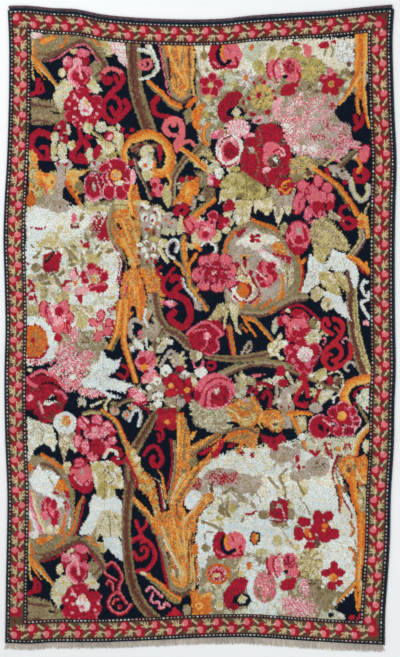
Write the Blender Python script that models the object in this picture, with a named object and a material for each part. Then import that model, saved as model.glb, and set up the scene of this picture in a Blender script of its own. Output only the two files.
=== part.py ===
# Hand-knotted wool rug lying flat on the floor.
# The knotted carpet is one slab. A wrapped selvedge runs down each side, the top end is
# turned under and stitched into a lumpy band, and the bottom ends in a fringe of
# warp ends on its narrow woven strip.
# X runs across the rug, Y runs along it towards the top end, and Z is up.

import math

import bmesh
import bpy
import numpy as np
from mathutils import Vector

MM = 0.001

# The rug's uneven outer outline, in millimetres from the middle of its bounding box.
# Side edges: place along the rug, left edge, right edge.
SIDE_EDGES = (
    # along, left, right
    (1105, -656.4, 663.0),
    (993, -651.5, 656.5),
    (862, -650.5, 658.5),
    (731, -652.5, 663.0),
    (561, -659.0, 670.0),
    (430, -666.5, 666.5),
    (300, -670.0, 664.5),
    (168, -666.5, 664.5),
    (-2, -663.5, 665.3),
    (-132, -666.5, 667.3),
    (-262, -666.5, 663.0),
    (-394, -663.5, 661.0),
    (-562, -657.0, 651.0),
    (-736, -659.0, 647.5),
    (-866, -661.5, 639.0),
    (-954, -662.5, 632.5),
    (-1066, -664.2, 630.5),
    (-1110, -664.6, 630.0),
)
# End edges: place across the rug, top edge, bottom edge of the pile, tips of the fringe.
END_EDGES = (
    # across, top, pile bottom, fringe tips
    (-664, 1100.7, -1069.0, -1098.0),
    (-580, 1100.5, -1072.5, -1096.5),
    (-505, 1093.0, -1067.5, -1093.0),
    (-420, 1088.8, -1067.2, -1091.0),
    (-332, 1071.5, -1066.8, -1090.0),
    (-246, 1062.0, -1064.0, -1085.0),
    (-158, 1057.0, -1060.0, -1083.0),
    (0, 1054.0, -1052.3, -1079.0),
    (86, 1057.0, -1050.3, -1078.0),
    (174, 1067.0, -1050.0, -1079.0),
    (260, 1073.0, -1055.0, -1085.0),
    (348, 1078.0, -1061.0, -1094.0),
    (434, 1083.5, -1066.8, -1098.5),
    (521, 1092.0, -1071.5, -1102.5),
    (608, 1101.0, -1075.4, -1104.8),
    (664, 1105.0, -1077.0, -1105.0),
)

# Carpet: knotted pile on its woven ground.
CARPET_THICK = 9.0
CARPET_EDGE_ROUND = 2.0
GAP = 0.4

# Selvedges: the outermost warps wrapped in dark wool, flat underneath.
SELVEDGE_WIDTH = 7.5
SELVEDGE_HEIGHT = 7.0
SELVEDGE_PAST_PILE = 1.0
SELVEDGE_STEPS = 54
SELVEDGE_SIDES = 10

# Top band: the woven end rolled under and overcast.
BAND_WIDTH = 12.0
BAND_HEIGHT = 7.0
BAND_LUMP = 0.09
BAND_LUMP_PITCH = 47.0
BAND_STEPS = 112
BAND_SIDES = 10
BAND_END_TAPER = 0.55

# Fringe: loose warp ends on a narrow woven strip.
STRIP_DEPTH = 6.0
STRIP_THICK = 3.0
STRAND_COUNT = 212
STRAND_SHARE = 0.64
STRAND_TIP_SHARE = 0.5
STRAND_TIP_THICK = 1.8
STRAND_LEAN_LEFT = -0.42
STRAND_LEAN_RIGHT = 0.26
STRAND_LEAN_WAVE = 0.07
STRAND_LENGTH_WAVE = 0.09
STRAND_CURL = 0.03

NAVY_WOOL = (0.012, 0.019, 0.034)
AUBERGINE_WOOL = (0.085, 0.050, 0.070)
ROSE_WOOL = (0.300, 0.080, 0.085)
GREY_WOOL = (0.420, 0.370, 0.300)


def clear_scene():
    for found in list(bpy.data.objects):
        bpy.data.objects.remove(found)


def wool(name, colour):
    made = bpy.data.materials.new(name)
    made.use_nodes = True
    shader = made.node_tree.nodes["Principled BSDF"]
    shader.inputs["Base Color"].default_value = (*colour, 1.0)
    shader.inputs["Roughness"].default_value = 0.95
    shader.inputs["Metallic"].default_value = 0.0
    return made


def through(table, column, at):
    """A smooth line through one column of a table, read at its first column's values."""
    rows = sorted(table)
    places = np.array([row[0] for row in rows], float)
    values = np.array([row[column] for row in rows], float)
    slopes = np.gradient(values, places)
    at = np.clip(np.asarray(at, float), places[0], places[-1])
    i = np.clip(np.searchsorted(places, at) - 1, 0, len(places) - 2)
    span = places[i + 1] - places[i]
    t = (at - places[i]) / span
    start = values[i] * (2 * t**3 - 3 * t**2 + 1) + slopes[i] * span * (t**3 - 2 * t**2 + t)
    end = values[i + 1] * (3 * t**2 - 2 * t**3) + slopes[i + 1] * span * (t**3 - t**2)
    return start + end


def left_edge(along):
    return through(SIDE_EDGES, 1, along)


def right_edge(along):
    return through(SIDE_EDGES, 2, along)


def top_edge(across):
    return through(END_EDGES, 1, across)


def pile_bottom(across):
    return through(END_EDGES, 2, across)


def fringe_tips(across):
    return through(END_EDGES, 3, across)


def carpet_outline():
    """The slab's outline in order, inside the selvedges and the band."""
    inset = SELVEDGE_WIDTH + GAP
    low_left = left_edge(pile_bottom(-650)) + inset
    low_right = right_edge(pile_bottom(620)) - inset
    across_low = np.linspace(low_left, low_right, 46)
    bottom = [(x, pile_bottom(x)) for x in across_low]
    under_band = BAND_WIDTH + 2 * GAP
    high_right = right_edge(1085) - inset
    high_left = left_edge(1085) + inset
    top_right = top_edge(high_right) - under_band
    top_left = top_edge(high_left) - under_band
    up_right = np.linspace(bottom[-1][1], top_right, 60)[1:-1]
    right = [(right_edge(y) - inset, y) for y in up_right]
    across_top = np.linspace(right_edge(top_right) - inset, left_edge(top_left) + inset, 60)
    top = [(x, top_edge(x) - under_band) for x in across_top]
    down_left = np.linspace(top_left, bottom[0][1], 60)[1:-1]
    left = [(left_edge(y) + inset, y) for y in down_left]
    return bottom + right + top + left


def link(parts, found, material):
    found.data.materials.append(material)
    parts.objects.link(found)
    return found


def poly_spline(curve, points, cyclic=False, radii=None):
    spline = curve.splines.new("POLY")
    spline.points.add(len(points) - 1)
    for n, (point, place) in enumerate(zip(spline.points, points)):
        point.co = (*[value * MM for value in place], 1.0)
        if radii is not None:
            point.radius = radii[n]
    spline.use_cyclic_u = cyclic


def carpet(parts, material):
    """The knotted carpet: a flat filled outline, extruded, with its rim rounded."""
    curve = bpy.data.curves.new("knotted_carpet", "CURVE")
    curve.dimensions = "2D"
    curve.fill_mode = "BOTH"
    curve.extrude = (CARPET_THICK / 2 - CARPET_EDGE_ROUND) * MM
    curve.bevel_depth = CARPET_EDGE_ROUND * MM
    curve.bevel_resolution = 1
    curve.offset = -CARPET_EDGE_ROUND * MM
    poly_spline(curve, [(x, y, 0.0) for x, y in carpet_outline()], cyclic=True)
    made = bpy.data.objects.new("knotted_carpet", curve)
    made.location.z = CARPET_THICK / 2 * MM
    return link(parts, made, material)


def flat_footed_section(helpers, name, width, height, sides):
    """A closed section of that width and height: an oval with its underside cut flat."""
    curve = bpy.data.curves.new(name, "CURVE")
    curve.dimensions = "2D"
    cut = math.radians(50)
    turns = np.linspace(math.pi + cut, -cut, sides)
    oval_height = height / (1 + math.sin(cut))
    foot = oval_height * math.sin(cut)
    points = [
        (width / 2 * math.cos(turn), oval_height * math.sin(turn) + foot, 0.0) for turn in turns
    ]
    poly_spline(curve, points, cyclic=True)
    made = bpy.data.objects.new(name, curve)
    made.hide_render = True
    helpers.objects.link(made)
    return made


def swept(parts, name, section, points, material, radii=None):
    """A section carried along a line of points at floor level, its foot on the floor."""
    curve = bpy.data.curves.new(name, "CURVE")
    curve.dimensions = "3D"
    curve.twist_mode = "Z_UP"
    curve.bevel_mode = "OBJECT"
    curve.bevel_object = section
    curve.use_fill_caps = True
    poly_spline(curve, points, radii=radii)
    return link(parts, bpy.data.objects.new(name, curve), material)


def selvedges(parts, helpers, material):
    section = flat_footed_section(
        helpers, "selvedge_section", SELVEDGE_WIDTH, SELVEDGE_HEIGHT, SELVEDGE_SIDES
    )
    half = SELVEDGE_WIDTH / 2
    high = BAND_WIDTH + 3 * GAP
    left_from = top_edge(-655) - high
    left_to = pile_bottom(-655) - SELVEDGE_PAST_PILE
    right_from = top_edge(655) - high
    right_to = pile_bottom(625) - SELVEDGE_PAST_PILE
    down_left = np.linspace(left_from, left_to, SELVEDGE_STEPS)
    down_right = np.linspace(right_from, right_to, SELVEDGE_STEPS)
    left = [(left_edge(y) + half, y, 0.0) for y in down_left]
    right = [(right_edge(y) - half, y, 0.0) for y in down_right]
    swept(parts, "selvedge_left", section, left, material)
    swept(parts, "selvedge_right", section, right, material)


def band_swell(across):
    """How much thicker the rolled band is at a place, as a share of its usual size."""
    slow = math.sin(2 * math.pi * across / BAND_LUMP_PITCH)
    fast = math.sin(2 * math.pi * across / (0.62 * BAND_LUMP_PITCH) + 1.0)
    return 1 + BAND_LUMP * (0.6 * slow + 0.4 * fast)


def top_band(parts, helpers, material):
    """The turned top end. Its inner side is even and its lumps are on the outside."""
    section = flat_footed_section(
        helpers, "band_section", BAND_WIDTH, BAND_HEIGHT, BAND_SIDES
    )
    most = 1 + BAND_LUMP
    across = np.linspace(left_edge(1100) + 2, right_edge(1100) - 2, BAND_STEPS)
    points, radii = [], []
    for n, x in enumerate(across):
        near_end = min(n, BAND_STEPS - 1 - n)
        taper = min(1.0, BAND_END_TAPER + (1 - BAND_END_TAPER) * near_end / 2)
        radius = band_swell(x) / most * taper
        inner = top_edge(x) - BAND_WIDTH
        points.append((x, inner + radius * BAND_WIDTH / 2, 0.0))
        radii.append(radius)
    swept(parts, "top_band", section, points, material, radii)


def strand_lean(share):
    """Lean of a strand from straight down, in radians, by its place across the fringe."""
    even = STRAND_LEAN_LEFT + (STRAND_LEAN_RIGHT - STRAND_LEAN_LEFT) * share**0.6
    return even + STRAND_LEAN_WAVE * math.sin(37 * share) * math.sin(101 * share)


def strip_grid(columns):
    """A closed flat slab one face deep, with that many faces along its front."""
    bm = bmesh.new()
    bmesh.ops.create_grid(bm, x_segments=columns, y_segments=1, size=1.0)
    lifted = bmesh.ops.extrude_face_region(bm, geom=bm.faces[:])
    top = [item for item in lifted["geom"] if isinstance(item, bmesh.types.BMVert)]
    bmesh.ops.translate(bm, verts=top, vec=(0, 0, 1))
    bmesh.ops.recalc_face_normals(bm, faces=bm.faces[:])
    return bm


def place_strip(bm, columns):
    """Bends the slab along the pile's bottom edge and gives it the gaps between strands."""
    low = pile_bottom(0)
    start = left_edge(low) + SELVEDGE_WIDTH + GAP
    end = right_edge(low - 10) - SELVEDGE_WIDTH - GAP
    pitch = (end - start) / STRAND_COUNT
    strand_wide = pitch * STRAND_SHARE
    for vert in bm.verts:
        line = round((vert.co.x + 1) / 2 * columns)
        strand, right_side = divmod(line - 1, 2)
        x = start + pitch * (strand + 0.5) + (right_side - 0.5) * strand_wide
        if line == 0:
            x = start
        if line == columns:
            x = end
        back = pile_bottom(x) - GAP
        y = back if vert.co.y > 0 else back - STRIP_DEPTH
        vert.co = Vector((x, y, vert.co.z * STRIP_THICK)) * MM


def pull_out(bm, face, centre, along, wide, thick):
    """Extrudes one face into the next stretch of a strand, level on the floor."""
    sideways = Vector((-along.y, along.x, 0))
    old = face.calc_center_median()
    made = bmesh.ops.extrude_discrete_faces(bm, faces=[face])["faces"][0]
    for vert in made.verts:
        side = 1 if (vert.co - old).dot(sideways) > 0 else -1
        height = thick if vert.co.z > old.z else 0.0
        vert.co = centre + sideways * side * wide / 2 + Vector((0, 0, height))
    return made


def fringe(parts, material):
    """The woven strip and its loose warp ends, one body."""
    columns = 2 * STRAND_COUNT + 1
    bm = strip_grid(columns)
    place_strip(bm, columns)
    front = [face for face in bm.faces if face.normal.y < -0.7]
    front.sort(key=lambda face: face.calc_center_median().x)
    for n, face in enumerate(front[1::2]):
        share = (n + 0.5) / STRAND_COUNT
        root = face.calc_center_median()
        wide = (face.verts[0].co - face.verts[1].co).length
        wide = max(wide, (face.verts[1].co - face.verts[2].co).length)
        x = root.x / MM
        wave = 1 + STRAND_LENGTH_WAVE * (math.sin(2.4 * n) - 1)
        length = (root.y / MM - fringe_tips(x)) * wave * MM
        lean = strand_lean(share)
        along = Vector((math.sin(lean), -math.cos(lean), 0))
        curl = Vector((STRAND_CURL * math.sin(1.7 * n), 0, 0))
        mid = Vector((root.x, root.y, 0)) + (along - curl) * length * 0.5
        tip = Vector((root.x, root.y, 0)) + (along + curl) * length
        mid_thick = (STRIP_THICK + STRAND_TIP_THICK) / 2 * MM
        mid_wide = wide * (1 + STRAND_TIP_SHARE) / 2
        made = pull_out(bm, face, mid, along, mid_wide, mid_thick)
        pull_out(bm, made, tip, along, wide * STRAND_TIP_SHARE, STRAND_TIP_THICK * MM)
    bmesh.ops.recalc_face_normals(bm, faces=bm.faces[:])
    mesh = bpy.data.meshes.new("bottom_fringe")
    bm.to_mesh(mesh)
    bm.free()
    return link(parts, bpy.data.objects.new("bottom_fringe", mesh), material)


def main():
    clear_scene()
    parts = bpy.data.collections.new("hand_knotted_rug")
    helpers = bpy.data.collections.new("sections")
    bpy.context.scene.collection.children.link(parts)
    bpy.context.scene.collection.children.link(helpers)
    carpet(parts, wool("rose_pile", ROSE_WOOL))
    selvedges(parts, helpers, wool("navy_wrap", NAVY_WOOL))
    top_band(parts, helpers, wool("aubergine_wrap", AUBERGINE_WOOL))
    fringe(parts, wool("grey_warp", GREY_WOOL))


main()
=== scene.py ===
import math
import random

import bpy
import numpy as np
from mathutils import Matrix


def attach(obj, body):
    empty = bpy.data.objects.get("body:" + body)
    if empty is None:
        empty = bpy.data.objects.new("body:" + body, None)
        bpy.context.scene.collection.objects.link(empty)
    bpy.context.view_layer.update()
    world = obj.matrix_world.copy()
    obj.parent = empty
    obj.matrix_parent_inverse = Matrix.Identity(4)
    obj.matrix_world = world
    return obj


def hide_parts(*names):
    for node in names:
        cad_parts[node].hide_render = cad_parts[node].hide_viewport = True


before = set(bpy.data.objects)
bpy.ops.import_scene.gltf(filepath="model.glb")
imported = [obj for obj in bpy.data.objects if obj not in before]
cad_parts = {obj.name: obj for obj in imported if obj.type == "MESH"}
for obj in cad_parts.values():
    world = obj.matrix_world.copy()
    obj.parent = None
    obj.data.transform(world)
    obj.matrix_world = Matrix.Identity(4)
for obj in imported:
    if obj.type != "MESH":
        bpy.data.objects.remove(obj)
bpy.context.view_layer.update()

# Everything on the rug is placed in the photo's pixels, and one knot is about one pixel.
pixel = 0.0034

edges = {
    # place along the rug, left edge, right edge
    "sides": (
        (3, 6.9, 395.0), (36, 8.4, 393.1), (75, 8.6, 393.7), (114, 8.0, 395.0),
        (164, 6.2, 397.1), (202, 4.0, 396.0), (240, 2.9, 395.4), (279, 4.0, 395.4),
        (329, 4.9, 395.7), (367, 4.0, 396.3), (405, 4.0, 395.0), (444, 4.9, 394.4),
        (494, 6.8, 391.5), (545, 6.2, 390.3), (583, 5.4, 387.9), (609, 5.1, 386.0),
        (642, 4.6, 385.4), (655, 4.5, 385.3),
    ),
    # place across the rug, top edge, bottom edge
    "ends": (
        (5, 4.8, 642.9), (29, 4.8, 643.9), (51, 7.0, 642.5), (76, 8.3, 642.4),
        (102, 13.4, 642.3), (128, 16.1, 641.4), (154, 17.6, 640.3), (200, 18.5, 638.0),
        (225, 17.6, 637.4), (251, 14.7, 637.3), (276, 12.9, 638.8), (302, 11.4, 640.6),
        (328, 9.8, 642.3), (353, 7.3, 643.6), (379, 4.7, 644.8), (395, 3.5, 645.3),
    ),
}

# Knots across each border from the rug's edge inwards: kind of knot, how many, their width.
borders = {
    "left": (("bare", 1, 2.0), ("navy", 1, 0.7), ("dash", 1, 0.9), ("line", 1, 1.4), ("vine", 13, 1.03),
             ("line", 1, 1.3), ("dash", 1, 1.0), ("line", 1, 1.5)),
    "right": (("bare", 1, 2.0), ("navy", 2, 0.95), ("dash", 1, 0.95), ("line", 1, 1.3), ("vine", 15, 1.05),
              ("line", 1, 1.3), ("dash", 1, 1.0), ("line", 1, 1.4)),
    "top": (("bare", 1, 3.6), ("navy", 3, 0.95), ("dash", 1, 0.9), ("line", 1, 1.2), ("vine", 15, 1.0),
            ("line", 1, 1.3), ("dash", 1, 1.0), ("line", 1, 1.3)),
    "bottom": (("bare", 0, 0.0), ("navy", 2, 0.95), ("dash", 1, 0.95), ("line", 1, 1.2), ("vine", 15, 1.05),
               ("line", 1, 1.3), ("dash", 1, 1.0), ("line", 1, 1.3)),
}


def through(table, column, at):
    places = np.array([row[0] for row in table], float)
    values = np.array([row[column] for row in table], float)
    slopes = np.gradient(values, places)
    at = np.clip(np.asarray(at, float), places[0], places[-1])
    i = np.clip(np.searchsorted(places, at) - 1, 0, len(places) - 2)
    span = places[i + 1] - places[i]
    t = (at - places[i]) / span
    start = values[i] * (2 * t**3 - 3 * t**2 + 1) + slopes[i] * span * (t**3 - 2 * t**2 + t)
    end = values[i + 1] * (3 * t**2 - 2 * t**3) + slopes[i + 1] * span * (t**3 - t**2)
    return start + end


def borderLines(border):
    # How far in from the edge each line between knots lies, and each knot's kind.
    depth = [0.0]
    kinds = []
    for kind, count, wide in border:
        for step in range(count):
            depth.append(depth[-1] + wide)
            kinds.append(kind)
    return depth, kinds


def warpLines(near, far, inner):
    # Each line between knots: its share of the way across, its shift, and each knot's kind.
    depth, kinds = borderLines(near)
    depthFar, kindsFar = borderLines(far)
    start, end = depth[-1], depthFar[-1]
    share = [0.0] * len(depth)
    shift = list(depth)
    for n in range(1, inner):
        s = n / inner
        share.append(s)
        shift.append(start * (1 - s) - end * s)
    share += [1.0] * len(depthFar)
    shift += [-d for d in reversed(depthFar)]
    kinds += ["field"] * inner + kindsFar[::-1]
    return np.array(share), np.array(shift), kinds


# Knots between the borders, across the rug and down it.
inside = {"across": 344, "down": 572}
columnShare, columnShift, columnKinds = warpLines(borders["left"], borders["right"], inside["across"])
rowShare, rowShift, rowKinds = warpLines(borders["top"], borders["bottom"], inside["down"])

# A first guess at the outline, from which the lines settle to the rug's own edges.
guess = {"left": 5, "top": 10, "wide": 388, "high": 633}


def placeLines():
    u, v = np.meshgrid(columnShare, rowShare)
    du, dv = np.meshgrid(columnShift, rowShift)
    x = guess["left"] + u * guess["wide"] + du
    y = guess["top"] + v * guess["high"] + dv
    for step in range(4):
        x = through(edges["sides"], 1, y) * (1 - u) + through(edges["sides"], 2, y) * u + du
        y = through(edges["ends"], 1, x) * (1 - v) + through(edges["ends"], 2, x) * v + dv
    return x, y


lineX, lineY = placeLines()
knotX = (lineX[1:, 1:] + lineX[:-1, 1:] + lineX[1:, :-1] + lineX[:-1, :-1]) / 4
knotY = (lineY[1:, 1:] + lineY[:-1, 1:] + lineY[1:, :-1] + lineY[:-1, :-1]) / 4
knotRows, knotColumns = knotX.shape

wool = {
    "navy": (3, 15, 31),
    "black": (20, 17, 24),
    "teal": (12, 32, 46),
    "crimson": (161, 24, 46),
    "scarlet": (181, 35, 50),
    "wine": (124, 20, 42),
    "pink": (207, 94, 117),
    "coral": (214, 106, 111),
    "blush": (228, 162, 170),
    "ivory": (222, 224, 216),
    "cream": (216, 206, 178),
    "straw": (190, 176, 120),
    "lime": (174, 159, 86),
    "olive": (133, 119, 80),
    "tan": (154, 138, 108),
    "umber": (104, 68, 58),
    "brown": (96, 48, 42),
    "bark": (90, 74, 58),
    "rust": (184, 86, 38),
    "orange": (205, 105, 42),
    "amber": (220, 142, 56),
    "gold": (222, 174, 94),
    "mauve": (176, 160, 152),
    "sage": (188, 194, 170),
    "sky": (204, 218, 220),
    "leaf": (194, 178, 136),
    "rosebud": (214, 116, 120),
}
shades = list(wool)

# Mixes of wool that a weaver takes up together, from one side of a form to the other.
blends = {
    "flame": "orange amber olive gold", "ember": "orange amber olive orange gold orange",
    "glow": "gold amber", "moss": "olive tan olive", "hay": "straw cream", "chaff": "straw cream sage",
    "chalk": "ivory sage", "snow": "ivory sky", "shell": "blush ivory", "petal": "pink blush",
    "claret": "crimson wine", "ash": "mauve tan", "dusk": "tan olive tan sage",
    "field": "ivory sky ivory sage ivory cream",
}

chart = np.zeros((knotRows, knotColumns), int)
dice = np.random.default_rng(7)


def clouds(cell, seed):
    # Soft patches about that many knots across, from 0 to 1.
    own = np.random.default_rng(seed)
    rows, columns = knotRows // cell + 3, knotColumns // cell + 3
    coarse = own.random((rows, columns))
    down = np.arange(knotRows) / cell
    over = np.arange(knotColumns) / cell
    r, c = down.astype(int), over.astype(int)
    fr, fc = (down - r)[:, None], (over - c)[None, :]
    first = coarse[r][:, c] * (1 - fc) + coarse[r][:, c + 1] * fc
    second = coarse[r + 1][:, c] * (1 - fc) + coarse[r + 1][:, c + 1] * fc
    return first * (1 - fr) + second * fr


grain = dice.random((knotRows, knotColumns))
grainTwo = dice.random((knotRows, knotColumns))
rough = 2 * (0.5 * clouds(2, 11) + 0.5 * grain) - 1
blotch = np.clip(0.5 + 1.5 * (clouds(4, 5) - 0.5) + 0.5 * (grainTwo - 0.5), 0, 0.999)


# How far the numbers of a knot's row and column may be from its place in the photo.
astray = {"rowLess": 28, "rowMore": -2, "columnLess": 16, "columnMore": 8}


def area(low, high):
    # The rows and columns that hold everything between two corners.
    rows = slice(max(0, int(low[1]) - astray["rowLess"]), max(0, int(high[1]) + astray["rowMore"]))
    columns = slice(max(0, int(low[0]) - astray["columnLess"]), max(0, int(high[0]) + astray["columnMore"]))
    return rows, columns


# Where the motif in hand is moved to, what its colours change to, and the only ground it may cover.
hand = {"move": (0.0, 0.0), "change": {}, "only": None}


def numbers(text):
    # "1,2 3,4" gives the rows (1, 2) and (3, 4).
    return [[float(value) for value in item.split(",")] for item in text.split()]


def wools(colour):
    names = [name for part in colour.split() for name in blends.get(part, part).split()]
    return [shades.index(hand["change"].get(name, name)) for name in names]


def tie(at, mask, colour, field=None):
    picks = np.array(wools(colour))
    field = blotch[at] if field is None else field
    chosen = picks[np.clip(field * len(picks), 0, len(picks) - 1).astype(int)]
    if hand["only"]:
        mask = mask & (chart[at] == shades.index(hand["only"]))
    chart[at][mask] = chosen[mask]


def around(x, y, wide, high, turn=0.0):
    # Distances from a spot, in halves of its width and height.
    x, y = x + hand["move"][0], y + hand["move"][1]
    reach = max(wide, high) / 2 + 3
    at = area((x - reach, y - reach), (x + reach, y + reach))
    dx, dy = knotX[at] - x, knotY[at] - y
    angle = math.radians(turn)
    u = (dx * math.cos(angle) + dy * math.sin(angle)) / (wide / 2)
    v = (dy * math.cos(angle) - dx * math.sin(angle)) / (high / 2)
    return at, u, v


def oval(colour, x, y, wide, high, turn=0.0, rag=0.95):
    at, u, v = around(x, y, wide, high, turn)
    tie(at, np.hypot(u, v) + rag * rough[at] / (min(wide, high) / 2) < 1, colour)


def ovals(colour, places, rag=0.95):
    for place in numbers(places):
        oval(colour, *place, rag=rag)


def dots(colour, size, places):
    for x, y in numbers(places):
        oval(colour, x, y, size, size, rag=0.5)


def curve(points):
    # A smooth way through the points, in steps of about a pixel and a half.
    step = 1.5
    p = np.array(points, float)
    q = np.vstack((2 * p[0] - p[1], p, 2 * p[-1] - p[-2]))
    found = []
    for n in range(1, len(q) - 2):
        a, b, c, d = q[n - 1 : n + 3]
        count = max(2, int(np.hypot(*(c - b)) / step))
        t = np.linspace(0, 1, count, endpoint=False)[:, None]
        found.append(0.5 * (2 * b + (c - a) * t + (2 * a - 5 * b + 4 * c - d) * t**2
                            + (3 * b - a - 3 * c + d) * t**3))
    return np.vstack(found + [p[-1:]])


def stroke(colour, wide, points, ends="1,1", leafy=0.0, lobes=0, deep=0.35, rag=0.75):
    # A line whose wools lie in stripes from its left side to its right, seen along its way.
    path = curve(numbers(points) if isinstance(points, str) else points) + np.array(hand["move"])
    at = area(path.min(0) - wide, path.max(0) + wide)
    dx, dy = knotX[at][..., None] - path[:, 0], knotY[at][..., None] - path[:, 1]
    nearest = np.argmin(dx**2 + dy**2, axis=-1)
    r, c = np.indices(nearest.shape)
    gx, gy = dx[r, c, nearest], dy[r, c, nearest]
    ahead = np.gradient(path, axis=0)
    ahead /= np.maximum(np.linalg.norm(ahead, axis=1), 1e-9)[:, None]
    side = ahead[nearest, 0] * gy - ahead[nearest, 1] * gx
    t = nearest / (len(path) - 1)
    (first, last), = numbers(ends)
    half = wide / 2 * (first + (last - first) * t)
    if leafy:
        half = half * np.sin(np.pi * np.clip(t, 0.02, 0.98)) ** leafy
    if lobes:
        half = half * (1 - deep * ((t * lobes + 0.23 * (side > 0)) % 1.0))
    half = np.maximum(half, 0.3)
    tie(at, np.hypot(gx, gy) + rag * rough[at] < half, colour, (side / half + 0.25 * rough[at] + 1) / 2)


def line(colour, wide, paths, *how):
    # One or more strokes of the same wool and width, their points parted by a slash.
    for points in paths.split(" / "):
        stroke(colour, wide, points, *how)


def patch(colour, points, rag=1.6):
    p = np.array(numbers(points)) + np.array(hand["move"])
    at = area(p.min(0), p.max(0))
    x, y = knotX[at] + rag * rough[at], knotY[at] + rag * (2 * grainTwo[at] - 1)
    inside = np.zeros(x.shape, bool)
    for (ax, ay), (bx, by) in zip(p, np.roll(p, -1, axis=0)):
        if ay != by:
            inside ^= ((ay > y) != (by > y)) & (x < (bx - ax) * (y - ay) / (by - ay) + ax)
    tie(at, inside, colour)


pairs = dice.random((knotRows // 2 + 1, knotColumns // 2 + 1)).repeat(2, 0).repeat(2, 1)
pairs = pairs[:knotRows, :knotColumns]


def speckle(colour, share, places):
    # Loose knots, thinner towards the rim.
    for place in numbers(places):
        at, u, v = around(*place)
        far = np.hypot(u, v) + 0.25 * rough[at]
        fade = np.clip((1 - far) / 0.6, 0, 1)
        patchy = 0.5 * pairs[at] + 0.5 * grain[at]
        tie(at, (far < 1) & (patchy < share * (0.5 + 0.5 * fade)), colour, grainTwo[at])


def fan(colour, x, y, wide, high, hubX, hubY, rays=12):
    # An oval whose wools run out in rays from a hub.
    at, u, v = around(x, y, wide, high)
    angle = np.arctan2(knotY[at] - hubY - hand["move"][1], knotX[at] - hubX - hand["move"][0])
    ray = (angle / (2 * math.pi) * rays + 0.35 * rough[at]) % 1.0
    ragged = 0.08 * np.cos(2 * math.pi * ray) + 0.5 * rough[at] / (min(wide, high) / 2)
    tie(at, np.hypot(u, v) + ragged < 1, colour, ray)


def leaf(colour, wide, x0, y0, x1, y1, vein=None, lobes=0):
    stroke(colour, wide, ((x0, y0), (x1, y1)), leafy=0.6, lobes=lobes)
    if vein:
        stroke(vein, 1.2, ((x0, y0), (0.8 * x1 + 0.2 * x0, 0.8 * y1 + 0.2 * y0)), rag=0.2)


def leaves(colour, wide, places):
    for place in numbers(places):
        leaf(colour, wide, *place)


def petals(colour, rim, places):
    for x, y, wide, high, *turn in numbers(places):
        oval(rim, x, y, wide + 2.2, high + 2.2, *turn)
        oval(colour, x, y, wide, high, *turn)


def star(colour, x, y, radius, count=5, rim=None, heart="gold", core=None, turn=-90):
    # A flower of separate petals, rimmed or not, with a round heart.
    wide, high = radius * 0.86, min(radius * 0.9, 3.6 * radius / count)
    for n in range(count):
        angle = math.radians(turn + 360 * n / count)
        px, py = x + math.cos(angle) * radius * 0.58, y + math.sin(angle) * radius * 0.58
        if rim:
            oval(rim, px, py, wide + 2, high + 2, math.degrees(angle))
        oval(colour, px, py, wide, high, math.degrees(angle))
    oval(heart, x, y, radius * 0.46, radius * 0.46)
    if core:
        oval(core, x, y, radius * 0.2 + 1, radius * 0.2 + 1)


def foliage(colours, count, places, size=11):
    # Small toothed leaves in threes, tied only where the navy still shows.
    hand["only"] = "navy"
    for x, y, wide, high in numbers(places):
        own = random.Random(int(x + y))
        for n in range(count):
            px, py = x + own.uniform(-0.5, 0.5) * wide, y + own.uniform(-0.5, 0.5) * high
            first = own.uniform(0, 360)
            pair = " ".join(own.sample(colours.split(), 2))
            for side, share in ((-42, 0.75), (0, 1.0), (42, 0.75)):
                angle = math.radians(first + side)
                long = size * own.uniform(0.7, 1.2) * share
                end = px + long * math.cos(angle), py + long * math.sin(angle)
                leaf(pair, size * 0.5, px, py, *end, "umber" if side == 0 else None, 3)
    hand["only"] = None


def sprigs(colours, count, places, size=8):
    # Faint small leaves scattered over a pale ground.
    for x, y, wide, high in numbers(places):
        own = random.Random(int(x + y))
        for n in range(count):
            px, py = x + own.uniform(-0.5, 0.5) * wide, y + own.uniform(-0.5, 0.5) * high
            angle = own.uniform(0, 2 * math.pi)
            long = size * own.uniform(0.7, 1.4)
            end = px + long * math.cos(angle), py + long * math.sin(angle)
            leaf(own.choice(colours.split()), long * 0.42, px, py, *end)


def again(motif, right, down, change=""):
    # A motif that the design repeats further on, in other wools where they are named in pairs.
    words = change.split()
    hand["move"] = (right, down)
    hand["change"] = dict(zip(words[::2], words[1::2]))
    motif()
    hand["move"] = (0.0, 0.0)
    hand["change"] = {}


def meadowGround():
    patch("dusk", "196,42 372,38 366,80 332,122 300,116 276,124 248,118 214,132 207,156 198,140 196,120",
         2)
    patch("cream ivory cream", "193,42 356,38 350,58 354,74 338,72 318,60 296,54 254,76 236,70 202,80 "
         "198,60", 2)
    ovals("ivory mauve sky ivory", "344,52,22,22 350,60,10,14")
    ovals("sage", "252,52,20,18 262,44,10,8")
    line("sage olive", 3.6, "324,54 326,48 331,46 334,50 332,56")


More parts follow.
